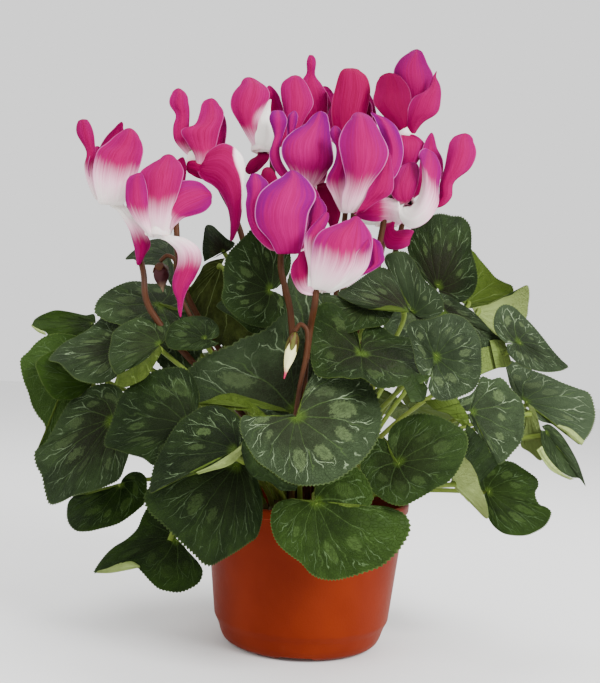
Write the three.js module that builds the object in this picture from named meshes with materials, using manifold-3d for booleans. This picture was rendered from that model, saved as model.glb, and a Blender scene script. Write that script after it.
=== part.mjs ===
// A cyclamen in flower, in a moulded plastic pot. Millimetres, +Z up.
// The origin is the middle of the pot's underside, and the viewer stands on the -Y side.
import * as THREE from "three";
import { mergeVertices } from "three/addons/utils/BufferGeometryUtils.js";
import Module from "manifold-3d";

const wasm = await Module();
wasm.setup();

// Driving dimensions of the pot
const POT_RIM_RADIUS = 60;
const POT_RIM_ROUND = 1;
const POT_MOUTH_RADIUS = 56.4;
const POT_HEIGHT = 82;
const POT_TOP_RADIUS = 57.4;
const POT_LIP_DROP = 5;
const POT_LIP_DRAFT = 0.4;
const POT_STEP_HEIGHT = 11;
const POT_STEP_SLOPE = 1.5;
const POT_STEP_RADIUS = 49.2;
const POT_INNER_STEP_RADIUS = 45.4;
const POT_FOOT_RADIUS = 46;
const POT_FOOT_FLARE = 0.8;
const POT_SIDES = 24;
const FOOT_BEVEL = 2;
const FLOOR_THICKNESS = 1.6;
const CHANNEL_COUNT = 3;
const CHANNEL_WIDTH = 22;
const CHANNEL_HEIGHT = 2.6;
const CHANNEL_INNER_END = 27;
const CHANNEL_AZIMUTH = -93;
const DRAIN_HOLE_RADIUS = 3.6;
const DRAIN_HOLE_REACH = 33;
const DRAIN_HOLE_SIDES = 10;

// Driving dimensions of what grows in it
const SOIL_TOP = 70;
const SOIL_SIDES = 16;
const SOIL_EDGE_DROP = 1;
const SOIL_DIP = 4;
const SOIL_DIP_WIDTH = 6;
const SOIL_BUMP = 0.8;
const SOIL_BUMPS_ACROSS = 0.9;
const SOIL_BUMPS_BACK = 0.7;
const TUBER_RADIUS = 35;
const TUBER_HALF_HEIGHT = 16;
const TUBER_CENTRE = 62;
const ROOT_DEPTH = 9;
const GAP = 0.3;
const OUTER_RING = 27;
const INNER_RING = 19.8;
const STALK_RING = 12.6;
const MIDDLE_RING = 5.6;
const SHOOT_RADIUS = 2.8;
const SHOOT_HEIGHT = 8;
const PETIOLE_RADIUS = 1.4;
const PETIOLE_SPREAD = 1.5;
const PETIOLE_ROOT = 2;
const STALK_RADIUS = 1.9;
const BUD_STALK_RADIUS = 1.3;
const STALK_SIDES = 4;
const BLADE_THICKNESS = 0.7;
const PETAL_THICKNESS = 0.7;

// The reference view: a picture of 600 by 683 pixels, with the eye in front of the pot.
// A place in it is a column, a row, and how many millimetres nearer than the pot's axis it is.
const VIEW_COLUMN = 300;
const VIEW_ROW = 341.5;
const VIEW_FOCAL = 882;
const VIEW_EYE = new THREE.Vector3(-8, -520, 154);
const VIEW_PITCH = THREE.MathUtils.degToRad(2.1);
const VIEW_ROLL = THREE.MathUtils.degToRad(2.7);

const vector = (x, y, z) => new THREE.Vector3(x, y, z);
const radians = THREE.MathUtils.degToRad;
const smooth = (x) => THREE.MathUtils.smoothstep(x, 0, 1);
const mix = THREE.MathUtils.lerp;
const UP = vector(0, 0, 1);

function seen(column, row, near) {
  const right = (column - VIEW_COLUMN) / VIEW_FOCAL;
  const up = (VIEW_ROW - row) / VIEW_FOCAL;
  const x = right * Math.cos(VIEW_ROLL) - up * Math.sin(VIEW_ROLL);
  const rise = right * Math.sin(VIEW_ROLL) + up * Math.cos(VIEW_ROLL);
  const ray = vector(
    x,
    Math.cos(VIEW_PITCH) - rise * Math.sin(VIEW_PITCH),
    Math.sin(VIEW_PITCH) + rise * Math.cos(VIEW_PITCH),
  );
  const reach = (-near - VIEW_EYE.y) / ray.y;
  return VIEW_EYE.clone().addScaledVector(ray, reach);
}

function heading(azimuth) {
  const turn = radians(azimuth);
  return vector(Math.cos(turn), Math.sin(turn), 0);
}

function around(azimuth, reach, height) {
  return heading(azimuth).multiplyScalar(reach).setZ(height);
}

// Solids and nodes
const FINISHES = {
  pot: { color: 0xa8431d, roughness: 0.45 },
  soil: { color: 0x2a1d14, roughness: 0.95 },
  tuber: { color: 0x5b4030, roughness: 0.85 },
  leaf: { color: 0x2e4a2c, roughness: 0.5 },
  stalk: { color: 0x7a3a2a, roughness: 0.55 },
  petal: { color: 0xe0207f, roughness: 0.5 },
  bud: { color: 0xefe6c8, roughness: 0.5 },
};
const plant = new THREE.Group();

function solidOf(geometry) {
  const bare = geometry.clone();
  bare.deleteAttribute("normal");
  bare.deleteAttribute("uv");
  const merged = mergeVertices(bare, 1e-4);
  return new wasm.Manifold(
    new wasm.Mesh({
      numProp: 3,
      vertProperties: new Float32Array(merged.attributes.position.array),
      triVerts: new Uint32Array(merged.index.array),
    }),
  );
}

function addNode(name, finish, solid) {
  const mesh = solid.getMesh();
  const geometry = new THREE.BufferGeometry();
  geometry.setAttribute("position", new THREE.BufferAttribute(new Float32Array(mesh.vertProperties), 3));
  geometry.setIndex(new THREE.BufferAttribute(new Uint32Array(mesh.triVerts), 1));
  geometry.computeVertexNormals();
  const material = new THREE.MeshStandardMaterial({ ...FINISHES[finish], metalness: 0 });
  const node = new THREE.Mesh(geometry, material);
  node.name = name;
  plant.add(node);
}

const union = (solids) => solids.reduce((whole, piece) => whole.add(piece));

// Gives a patch of surface its thickness. The patch has points, the way each one is offset to the
// far face, triangles that run anticlockwise as seen from the near face, and its rim in that sense.
function thicken(patch, thickness) {
  const count = patch.points.length;
  const far = patch.points.map((p, i) => p.clone().addScaledVector(patch.offsets[i], -thickness));
  const faces = [];
  for (const [a, b, c] of patch.triangles) {
    faces.push(a, b, c, a + count, c + count, b + count);
  }
  patch.rim.forEach((a, i) => {
    const b = patch.rim[(i + 1) % patch.rim.length];
    faces.push(b, a, a + count, b, a + count, b + count);
  });
  const geometry = new THREE.BufferGeometry().setFromPoints([...patch.points, ...far]);
  geometry.setIndex(faces);
  return solidOf(geometry);
}

function tube(curve, radius, sides, steps) {
  const section = new THREE.Shape();
  for (let i = 0; i < sides; i += 1) {
    const turn = (2 * Math.PI * i) / sides;
    const at = [radius * Math.cos(turn), radius * Math.sin(turn)];
    if (i === 0) section.moveTo(...at);
    else section.lineTo(...at);
  }
  section.closePath();
  return solidOf(new THREE.ExtrudeGeometry(section, { steps, extrudePath: curve, bevelEnabled: false }));
}

const rod = (from, to, radius, sides) => tube(new THREE.LineCurve3(from, to), radius, sides, 1);

function latheGeometry(profile, sides) {
  const points = profile.map(([r, z]) => new THREE.Vector2(r, z));
  return new THREE.LatheGeometry(points, sides).rotateX(Math.PI / 2);
}

// Turns a solid of revolution about Z to stand at a place along an axis.
function standing(profile, sides, place, axis) {
  const geometry = latheGeometry(profile, sides);
  geometry.applyQuaternion(new THREE.Quaternion().setFromUnitVectors(UP, axis));
  geometry.translate(place.x, place.y, place.z);
  return solidOf(geometry);
}

// Pot
const FLOOR_TOP = CHANNEL_HEIGHT + FLOOR_THICKNESS;
const FLOOR_RADIUS = POT_FOOT_RADIUS - FOOT_BEVEL;
const STEP_TOP = POT_STEP_HEIGHT + POT_STEP_SLOPE;

function makePot() {
  const lipFoot = POT_HEIGHT - POT_LIP_DROP;
  const profile = [
    [0, 0],
    [FLOOR_RADIUS, 0],
    [POT_FOOT_RADIUS, FOOT_BEVEL],
    [POT_FOOT_RADIUS + POT_FOOT_FLARE, POT_STEP_HEIGHT - POT_STEP_SLOPE],
    [POT_STEP_RADIUS, STEP_TOP],
    [POT_TOP_RADIUS, lipFoot],
    [POT_RIM_RADIUS - POT_LIP_DRAFT, lipFoot],
    [POT_RIM_RADIUS, POT_HEIGHT - POT_RIM_ROUND],
    [POT_RIM_RADIUS - POT_RIM_ROUND, POT_HEIGHT],
    [POT_MOUTH_RADIUS, POT_HEIGHT],
    [POT_INNER_STEP_RADIUS, STEP_TOP],
    [FLOOR_RADIUS, FLOOR_TOP],
    [0, FLOOR_TOP],
  ];
  let pot = solidOf(latheGeometry(profile, POT_SIDES));
  for (let i = 0; i < CHANNEL_COUNT; i += 1) {
    const out = heading(CHANNEL_AZIMUTH + (360 * i) / CHANNEL_COUNT);
    const below = out.clone().multiplyScalar(DRAIN_HOLE_REACH).setZ(-FLOOR_TOP);
    const above = below.clone().setZ(2 * FLOOR_TOP);
    pot = pot.subtract(channel(out)).subtract(rod(below, above, DRAIN_HOLE_RADIUS, DRAIN_HOLE_SIDES));
  }
  return pot;
}

// A groove with sloped sides in the pot's underside, from a drain hole out to the edge.
function channel(out) {
  const half = CHANNEL_WIDTH / 2;
  const section = new THREE.Shape();
  section.moveTo(-half - CHANNEL_HEIGHT, -CHANNEL_HEIGHT);
  section.lineTo(half + CHANNEL_HEIGHT, -CHANNEL_HEIGHT);
  section.lineTo(half - CHANNEL_HEIGHT, CHANNEL_HEIGHT);
  section.lineTo(-half + CHANNEL_HEIGHT, CHANNEL_HEIGHT);
  section.closePath();
  const length = POT_RIM_RADIUS - CHANNEL_INNER_END;
  const geometry = new THREE.ExtrudeGeometry(section, { depth: length, bevelEnabled: false });
  const across = UP.clone().cross(out);
  const start = out.clone().multiplyScalar(CHANNEL_INNER_END);
  geometry.applyMatrix4(new THREE.Matrix4().makeBasis(across, UP, out).setPosition(start));
  return solidOf(geometry);
}

// Soil and tuber
const TUBER_BANDS = 3;

function tuberProfile(grow) {
  return Array.from({ length: 2 * TUBER_BANDS + 1 }, (_, i) => {
    const band = i - TUBER_BANDS;
    const turn = (Math.PI * band) / (2 * TUBER_BANDS);
    const radius = Math.abs(band) === TUBER_BANDS ? 0 : (TUBER_RADIUS + grow) * Math.cos(turn);
    return [radius, TUBER_CENTRE + (TUBER_HALF_HEIGHT + grow) * Math.sin(turn)];
  });
}

// The soil's radius at a height, just clear of the flat sides of the pot's inner wall.
function soilRadius(height) {
  const share = (height - STEP_TOP) / (POT_HEIGHT - STEP_TOP);
  const inner = mix(POT_INNER_STEP_RADIUS, POT_MOUTH_RADIUS, share);
  return inner * Math.cos(Math.PI / POT_SIDES) - GAP;
}

function makeSoil() {
  const floor = FLOOR_TOP + GAP;
  const edge = SOIL_TOP - SOIL_EDGE_DROP;
  const profile = [
    [0, floor],
    [FLOOR_RADIUS - 1, floor],
    [soilRadius(STEP_TOP), STEP_TOP],
    [soilRadius(edge), edge],
    [TUBER_RADIUS + SOIL_DIP_WIDTH, SOIL_TOP],
    [TUBER_RADIUS - 1, SOIL_TOP - SOIL_DIP],
    [0, SOIL_TOP - SOIL_DIP],
  ];
  const geometry = latheGeometry(profile, SOIL_SIDES);
  const places = geometry.attributes.position;
  for (let i = 0; i < places.count; i += 1) {
    const across = Math.sin(SOIL_BUMPS_ACROSS * places.getX(i));
    const back = Math.cos(SOIL_BUMPS_BACK * places.getY(i));
    const height = places.getZ(i);
    if (height >= edge) places.setZ(i, height + SOIL_BUMP * across * back);
  }
  return solidOf(geometry).subtract(solidOf(latheGeometry(tuberProfile(GAP), SOIL_SIDES)));
}

// Where a shoot or stalk leaves the crown.
function crownPoint(ring, azimuth) {
  const share = ring / TUBER_RADIUS;
  const height = TUBER_CENTRE + TUBER_HALF_HEIGHT * Math.sqrt(1 - share * share);
  return around(azimuth, ring, height);
}

const sockets = [];

function rootIn(ring, azimuth, radius, sides) {
  const top = crownPoint(ring, azimuth);
  const foot = top.clone().setZ(top.z - ROOT_DEPTH);
  const wide = radius + GAP / Math.cos(Math.PI / sides);
  sockets.push(rod(foot.clone().setZ(foot.z - GAP), top.clone().setZ(top.z + SHOOT_HEIGHT), wide, sides));
  return { top, foot };
}

// Leaf blades
const HEART_REACH = 0.74;
const HEART_SWING = 0.15;
const POINT_REACH = 0.11;
const POINT_ANGLE = 0.3;
const SINUS_DEPTH = 0.42;
const SINUS_ANGLE = radians(171);
const LOBE_ANGLE = radians(146);
const INNER_REACH = 0.55;
const INNER_POINTS = 5;
const MARGIN_POINTS = 13;
const SCALLOP = 0.05;
const FOLD_ROUND = 0.1;

// How far the margin lies from the petiole's joint, as a share of the midrib's length.
function marginReach(angle) {
  const turn = Math.abs(angle);
  const point = POINT_REACH * Math.exp(-((turn / POINT_ANGLE) ** 2));
  const sinus = SINUS_DEPTH * smooth((turn - LOBE_ANGLE) / (SINUS_ANGLE - LOBE_ANGLE));
  return (HEART_REACH + HEART_SWING * Math.cos(turn) + point) * (1 - sinus);
}

// A leaf's own axes: along the midrib, across it, and out of its upper face.
function bladeFrame(leaf) {
  const along = leaf.tip.clone().sub(leaf.joint);
  const length = along.length();
  along.divideScalar(length);
  const normal = leaf.face.clone().addScaledVector(along, -leaf.face.dot(along)).normalize();
  const across = normal.clone().cross(along);
  return { along, across, normal, length };
}

// A place on the blade's upper face, which bows along the midrib, arches across it, lifts at the
// lobes, folds up a little on either side of the midrib and waves round the margin.
function bladePoint(leaf, frame, angle, reach) {
  const u = reach * Math.cos(angle);
  const v = reach * Math.sin(angle) * leaf.wide;
  const ahead = Math.max(u, 0);
  const behind = Math.min(u, 0);
  const height =
    4 * leaf.bow * (ahead * (1 - ahead) + behind * Math.exp(4 * behind)) +
    leaf.lift * behind * behind -
    leaf.arch * v * v +
    leaf.fold * (Math.hypot(v, FOLD_ROUND) - FOLD_ROUND) +
    leaf.wave * reach * reach * Math.sin(3 * angle + leaf.phase);
  return leaf.joint
    .clone()
    .addScaledVector(frame.along, u * frame.length)
    .addScaledVector(frame.across, v * frame.length)
    .addScaledVector(frame.normal, height * frame.length);
}

function bladePatch(leaf, frame) {
  const points = [leaf.joint.clone()];
  const ring = (count, place) =>
    Array.from({ length: count }, (_, i) => {
      const angle = mix(-SINUS_ANGLE, SINUS_ANGLE, i / (count - 1));
      points.push(bladePoint(leaf, frame, angle, place(angle, i)));
      return points.length - 1;
    });
  const inner = ring(INNER_POINTS, (angle) => INNER_REACH * marginReach(angle));
  const margin = ring(MARGIN_POINTS, (angle, i) => marginReach(angle) * (1 - SCALLOP * (i % 2)));
  const fan = inner.slice(1).map((next, i) => [0, inner[i], next]);
  const triangles = [...fan, ...strip(margin, inner)];
  const rim = [0, inner[0], ...margin, inner[inner.length - 1]];
  return { points, offsets: points.map(() => frame.normal), triangles, rim };
}

// The petiole rises from its shoot, clears the pot's rim and meets the blade from behind.
const PETIOLE_LANDING = 0.07;
const PETIOLE_INSET = 0.15;
const PETIOLE_RISE = 0.5;
const PETIOLE_SWEEP = 0.4;
const PETIOLE_SIDES = 3;
const PETIOLE_STEPS = 4;
const RIM_CLEARANCE = 12;
const RIM_LIFT = 1.2;

function petioleCurve(leaf, frame, root) {
  const outward = leaf.joint.clone().sub(root).setZ(0);
  const rise = Math.max(leaf.rise, PETIOLE_RISE * (leaf.joint.z - root.z));
  const first = root.clone().addScaledVector(UP, rise).addScaledVector(outward, leaf.spread);
  const landing = bladePoint(leaf, frame, 0, PETIOLE_LANDING);
  const end = landing.addScaledVector(frame.normal, PETIOLE_INSET - BLADE_THICKNESS);
  const drop = Math.max(0, POT_HEIGHT + RIM_CLEARANCE - leaf.joint.z);
  const second = end
    .clone()
    .addScaledVector(frame.normal, -leaf.back)
    .addScaledVector(frame.along, -PETIOLE_SWEEP * leaf.back)
    .addScaledVector(UP, RIM_LIFT * drop + leaf.over);
  return new THREE.CubicBezierCurve3(root.clone(), first, second, end);
}

// A leaf's shape, where its row gives nothing else: its width, the forms of its face as shares of
// its length, and how its petiole leaves the shoot and comes to the joint, in millimetres.
const LEAF = {
  wide: 1, bow: 0.07, lift: 0.15, arch: 0.12, fold: 0.05, wave: 0.03, phase: 0,
  back: 16, rise: 16, over: 0, spread: 0.1,
};

// Leaves by shoot: where the petiole joins, where the tip is, and the way the upper side looks.
const SHOOTS = {
  leaf_shoot_front: [OUTER_RING, -98, [
    { joint: seen(296, 417, 88), tip: seen(318, 487, 114), face: vector(0.05, -0.85, 0.6), wide: 1.05 },
  ]],
  leaf_shoot_front_inner: [INNER_RING, -115, [
    { joint: seen(270, 392, 50), tip: seen(198, 386, 44), face: vector(0, -0.9, 0.4), wide: 0.7 },
  ]],
  leaf_shoot_front_low: [OUTER_RING, -80, [
    { joint: seen(315, 501, 88), tip: seen(340, 580, 98), face: vector(0.05, -1, 0.2), wide: 1.18 },
  ]],
  leaf_shoot_front_right: [OUTER_RING, -62, [
    { joint: seen(400, 456, 82), tip: seen(441, 488, 94), face: vector(0.1, -0.95, 0.35) },
  ]],
  leaf_shoot_right_top: [INNER_RING, -72, [
    { joint: seen(368, 306, 36), tip: seen(350, 334, 50), face: vector(-0.05, -0.7, 0.7), wide: 1.1 },
    { joint: seen(352, 288, 40), tip: seen(412, 310, 46), face: vector(0, -0.65, 0.75), wide: 0.7 },
  ]],
  leaf_shoot_right_mid: [INNER_RING, -46, [
    { joint: seen(432, 366, 60), tip: seen(466, 326, 54), face: vector(0.1, -1, 0.3), wide: 0.95 },
    { joint: seen(361, 350, 62), tip: seen(354, 388, 84), face: vector(0, -0.65, 0.75), wide: 1.12 },
  ]],
  leaf_shoot_right_front: [OUTER_RING, -41, [
    { joint: seen(470, 412, 52), tip: seen(506, 460, 58), face: vector(0.25, -0.9, 0.4), wide: 0.87 },
    { joint: seen(450, 466, 48), tip: seen(484, 516, 46), face: vector(0.2, 0.9, 0.2), wide: 0.6 },
  ]],
  leaf_shoot_right_low: [OUTER_RING, -20, [
    { joint: seen(490, 484, 24), tip: seen(549, 514, 28), face: vector(0.2, -0.95, 0.2), wide: 0.75 },
  ]],
  leaf_shoot_right: [OUTER_RING, -1, [
    { joint: seen(546, 430, 20), tip: seen(586, 486, 22), face: vector(0.8, -0.6, 0.3), wide: 0.55 },
    { joint: seen(527, 410, 16), tip: seen(543, 458, 10), face: vector(0.5, 0.85, 0.1), wide: 0.5 },
  ]],
  leaf_shoot_right_inner: [INNER_RING, -20, [
    { joint: seen(430, 318, 4), tip: seen(390, 256, 8), face: vector(-0.4, -0.8, 0.4), wide: 0.55 },
    { joint: seen(444, 330, -2), tip: seen(494, 304, -4), face: vector(0.1, -0.95, 0.35), wide: 0.7 },
  ]],
  leaf_shoot_right_outer: [INNER_RING, 6, [
    { joint: seen(521, 338, 2), tip: seen(566, 364, 8), face: vector(0.2, -0.8, 0.55), wide: 0.9 },
    { joint: seen(521, 384, -14), tip: seen(590, 424, -10), face: vector(0.35, -0.85, 0.4), wide: 0.6 },
  ]],
  leaf_shoot_right_back: [OUTER_RING, 23, [
    { joint: seen(478, 328, -30), tip: seen(529, 286, -42), face: vector(0.3, 0.85, 0.4), wide: 0.5 },
    { joint: seen(470, 300, -50), tip: seen(513, 284, -66), face: vector(0.2, 0.9, 0.3), wide: 0.6 },
  ]],
  leaf_shoot_back_right: [INNER_RING, 34, [
    { joint: seen(437, 288, -24), tip: seen(448, 214, -30), face: vector(0.05, -1, 0.1), wide: 0.66 },
  ]],
  leaf_shoot_left_top: [INNER_RING, -134, [
    { joint: seen(270, 286, 28), tip: seen(227, 268, 38), face: vector(-0.35, -0.9, 0.15), wide: 1.26 },
    { joint: seen(256, 322, 14), tip: seen(218, 320, 18), face: vector(-0.1, -0.8, 0.5), wide: 0.9 },
  ]],
  leaf_shoot_left_front: [OUTER_RING, -117, [
    { joint: seen(234, 448, 88), tip: seen(151, 490, 96), face: vector(-0.15, -0.75, 0.65), wide: 0.75 },
    { joint: seen(232, 470, 76), tip: seen(208, 567, 86), face: vector(-0.05, -1, 0.1), wide: 0.72 },
  ]],
  leaf_shoot_left_mid: [OUTER_RING, -135, [
    { joint: seen(178, 416, 64), tip: seen(105, 440, 66), face: vector(-0.15, -0.9, 0.4), wide: 0.85 },
  ]],
  leaf_shoot_left_low: [OUTER_RING, -152, [
    { joint: seen(172, 542, 44), tip: seen(94, 574, 46), face: vector(-0.2, -0.9, 0.35), wide: 0.65 },
  ]],
  leaf_shoot_left_inner: [INNER_RING, -158, [
    { joint: seen(159, 343, 38), tip: seen(109, 354, 42), face: vector(-0.1, -0.75, 0.7), wide: 0.95 },
    { joint: seen(205, 340, 32), tip: seen(167, 336, 36), face: vector(0, -0.8, 0.6), wide: 0.85 },
  ]],
  leaf_shoot_left: [OUTER_RING, -170, [
    { joint: seen(112, 420, 20), tip: seen(48, 500, 26), face: vector(-0.35, -0.9, 0.2), wide: 0.6 },
    { joint: seen(126, 490, 6), tip: seen(70, 520, 8), face: vector(-0.3, -0.85, 0.4), wide: 0.75 },
  ]],
  leaf_shoot_left_outer: [INNER_RING, 178, [
    { joint: seen(92, 382, -4), tip: seen(38, 368, 0), face: vector(-0.3, -0.85, 0.4), wide: 0.85 },
    { joint: seen(122, 346, 16), tip: seen(50, 358, 20), face: vector(-0.1, -0.75, 0.65), wide: 0.76 },
  ]],
  leaf_shoot_left_back: [OUTER_RING, 170, [
    { joint: seen(94, 323, -26), tip: seen(31, 322, -20), face: vector(-0.2, -0.35, 1), wide: 0.6 },
    { joint: seen(70, 362, -34), tip: seen(42, 430, -30), face: vector(-0.8, -0.6, 0.35), wide: 0.7 },
  ]],
  leaf_shoot_back_left: [INNER_RING, 156, [
    { joint: seen(156, 294, -2), tip: seen(94, 302, 2), face: vector(-0.1, -0.4, 0.9), wide: 0.7 },
    { joint: seen(168, 254, -36), tip: seen(126, 258, -28), face: vector(0, -0.45, 1), wide: 0.9 },
  ]],
  leaf_shoot_back_left_top: [INNER_RING, 132, [
    { joint: seen(232, 258, -20), tip: seen(203, 230, -24), face: vector(-0.3, -0.8, 0.5), wide: 0.8 },
    { joint: seen(218, 272, -14), tip: seen(186, 314, -9), face: vector(0.3, 0.9, 0.2), wide: 0.65 },
  ]],
  leaf_shoot_back_1: [OUTER_RING, 44, [
    { joint: around(44, 92, 136), tip: around(44, 130, 114), face: vector(0.5, 0.6, 0.6), wide: 0.9 },
    { joint: around(54, 84, 168), tip: around(54, 126, 156), face: vector(0.5, 0.5, 0.9), wide: 0.9 },
    { joint: around(58, 78, 100), tip: around(58, 104, 66), face: vector(0.5, 0.9, 0.3), wide: 0.85 },
  ]],
  leaf_shoot_back_2: [OUTER_RING, 74, [
    { joint: around(80, 90, 138), tip: around(80, 128, 114), face: vector(0.2, 0.8, 0.7), wide: 0.9 },
    { joint: around(72, 56, 198), tip: around(68, 96, 192), face: vector(0.1, 0.4, 1), wide: 0.9 },
  ]],
  leaf_shoot_back_3: [OUTER_RING, 104, [
    { joint: around(114, 90, 136), tip: around(114, 128, 110), face: vector(-0.3, 0.8, 0.7), wide: 0.9 },
    { joint: around(92, 84, 168), tip: around(91, 126, 158), face: vector(0, 0.6, 0.9), wide: 0.9 },
    { joint: around(97, 78, 100), tip: around(97, 104, 64), face: vector(-0.1, 1, 0.3), wide: 0.85 },
  ]],
  leaf_shoot_back_4: [OUTER_RING, 136, [
    { joint: around(146, 92, 132), tip: around(146, 130, 108), face: vector(-0.7, 0.5, 0.6), wide: 0.9 },
    { joint: around(126, 84, 168), tip: around(126, 126, 156), face: vector(-0.5, 0.5, 0.9), wide: 0.9 },
  ]],
};

function makeLeaf(row, root) {
  const leaf = { ...LEAF, ...row };
  const frame = bladeFrame(leaf);
  const blade = thicken(bladePatch(leaf, frame), BLADE_THICKNESS);
  const petiole = tube(petioleCurve(leaf, frame, root), PETIOLE_RADIUS, PETIOLE_SIDES, PETIOLE_STEPS);
  return blade.add(petiole);
}

// The petioles of a shoot stand side by side where they leave it.
function addShoot(name, [ring, azimuth, leaves]) {
  const { top, foot } = rootIn(ring, azimuth, SHOOT_RADIUS, STALK_SIDES);
  const head = top.clone().setZ(top.z + SHOOT_HEIGHT);
  const stub = rod(foot, head, SHOOT_RADIUS, STALK_SIDES);
  const pieces = leaves.map((row, i) => {
    const start = head.clone().setZ(head.z - PETIOLE_ROOT);
    const apart = leaves.length > 1 ? PETIOLE_SPREAD : 0;
    start.addScaledVector(heading(azimuth + 90 + (360 * i) / leaves.length), -apart);
    return makeLeaf(row, start);
  });
  addNode(name, "leaf", union([stub, ...pieces]));
}

// Blooms hang mouth down. The cup's profile and the calyx's are radii and heights above their base.
const PETAL_COUNT = 5;
const PETAL_TURN = 360 / PETAL_COUNT;
const MOUTH_RADIUS = 7;
const CUP_HEIGHT = 9.5;
const CUP_PROFILE = [[0, 5], [5.4, 0], [7.2, 0], [4.6, CUP_HEIGHT], [0, CUP_HEIGHT]];
const CALYX_PROFILE = [[0, 0], [4.8, 0], [1.6, 4], [0, 4]];

// A petal's claw is its narrow foot: it leaves the mouth's edge outwards and turns back upwards.
const CLAW_START = 5;
const CLAW_RISE = 1.2;
const CLAW_OUT = 8;
const CLAW_DROP = 3.5;
const BELLY_SHARE = 0.4;
const PETAL_ROWS = [
  { share: 0, half: 0.24, across: [-1, 1] },
  { share: 0.4, half: 0.86, across: [-1, 0, 1] },
  { share: 0.78, half: 0.96, across: [-1, 0, 1] },
  { share: 1, half: 0.34, across: [-1, 1] },
];
const PETAL = { wide: 23, belly: 5, twist: 34, hollow: 0.12 };

// A petal widens from its claw towards its rounded end, and turns about its own length.
function petalPatch(bloom, petal, out) {
  const sideways = bloom.axis.clone().cross(out).normalize();
  const start = bloom.mouth.clone().addScaledVector(out, CLAW_START).addScaledVector(bloom.axis, CLAW_RISE);
  const first = start.clone().addScaledVector(out, CLAW_OUT).addScaledVector(bloom.axis, -CLAW_DROP);
  const second = petal.tip.clone().lerp(start, BELLY_SHARE).addScaledVector(out, petal.belly);
  const spine = new THREE.CubicBezierCurve3(start, first, second, petal.tip);
  const points = [];
  const offsets = [];
  const rows = PETAL_ROWS.map(({ share, half, across }) => {
    const tangent = spine.getTangent(share);
    const side = sideways.clone().addScaledVector(tangent, -sideways.dot(tangent)).normalize();
    side.applyAxisAngle(tangent, radians(petal.twist) * Math.sqrt(share));
    const normal = side.clone().cross(tangent);
    const reach = (petal.wide / 2) * half;
    return across.map((s) => {
      const point = spine.getPoint(share).addScaledVector(side, s * reach);
      points.push(point.addScaledVector(normal, -petal.hollow * reach * s * s));
      offsets.push(normal);
      return points.length - 1;
    });
  });
  const triangles = rows.slice(1).flatMap((upper, i) => strip(rows[i], upper));
  const rights = rows.slice(1, -1).map((row) => row[row.length - 1]);
  const lefts = rows.slice(1, -1).map((row) => row[0]).reverse();
  const rim = [...rows[0], ...rights, ...rows[rows.length - 1].slice().reverse(), ...lefts];
  return { points, offsets, triangles, rim };
}

// Fills the band between two rows of points that run the same way, the upper row above the lower.
function strip(lower, upper) {
  const triangles = [];
  let i = 0;
  let j = 0;
  while (i + 1 < lower.length || j + 1 < upper.length) {
    const lowerNext = (i + 1) / (lower.length - 1);
    const upperNext = (j + 1) / (upper.length - 1);
    if (i + 1 < lower.length && lowerNext <= upperNext + 1e-9) {
      triangles.push([lower[i], lower[i + 1], upper[j]]);
      i += 1;
    } else {
      triangles.push([lower[i], upper[j + 1], upper[j]]);
      j += 1;
    }
  }
  return triangles;
}

// A curve that is cut into steps evenly by its own points, so that its tight hook keeps its form.
class Stalk extends THREE.CatmullRomCurve3 {
  getPointAt(share) {
    return this.getPoint(share);
  }

  getTangentAt(share) {
    return this.getTangent(share);
  }
}

const STALK_STRAIGHT = 6;
const STALK_RISE = 24;
const STALK_LEAN = 0.03;
const STALK_BESIDE = MOUTH_RADIUS + STALK_RADIUS + 1.5;
const BLOOM_HOOK = [
  { out: STALK_BESIDE + 1, rise: -7 },
  { out: STALK_BESIDE, rise: 4 },
  { out: 0.75 * STALK_BESIDE, rise: CUP_HEIGHT + 6 },
  { out: 0.3 * STALK_BESIDE, rise: CUP_HEIGHT + 8 },
  { out: 0, rise: CUP_HEIGHT + 2 },
];
const BUD_HOOK = [
  { out: 6.5, rise: -6 },
  { out: 5.5, rise: 3 },
  { out: 2.5, rise: 5 },
  { out: 0, rise: 1.5 },
];

// A stalk climbs from the crown through the places on its way, passes the bloom or bud on one side
// and hooks over into its calyx. The hook is measured from the bloom, out to that side and up.
function stalkCurve(root, via, bloomAt, side, up, hook) {
  const { top, foot } = root;
  const toBloom = bloomAt.clone().sub(top).setZ(0);
  return new Stalk([
    foot,
    top.clone().setZ(top.z + STALK_STRAIGHT),
    top.clone().setZ(top.z + STALK_RISE).addScaledVector(toBloom, STALK_LEAN),
    ...via,
    ...hook.map(({ out, rise }) => bloomAt.clone().addScaledVector(side, out).addScaledVector(up, rise)),
  ], false, "centripetal");
}

// Two steps between points, and one less at each end.
function stalkTube(curve, radius) {
  return tube(curve, radius, STALK_SIDES, 2 * curve.points.length - 6);
}

const BLOOM = { axis: UP, via: [] };

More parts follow.
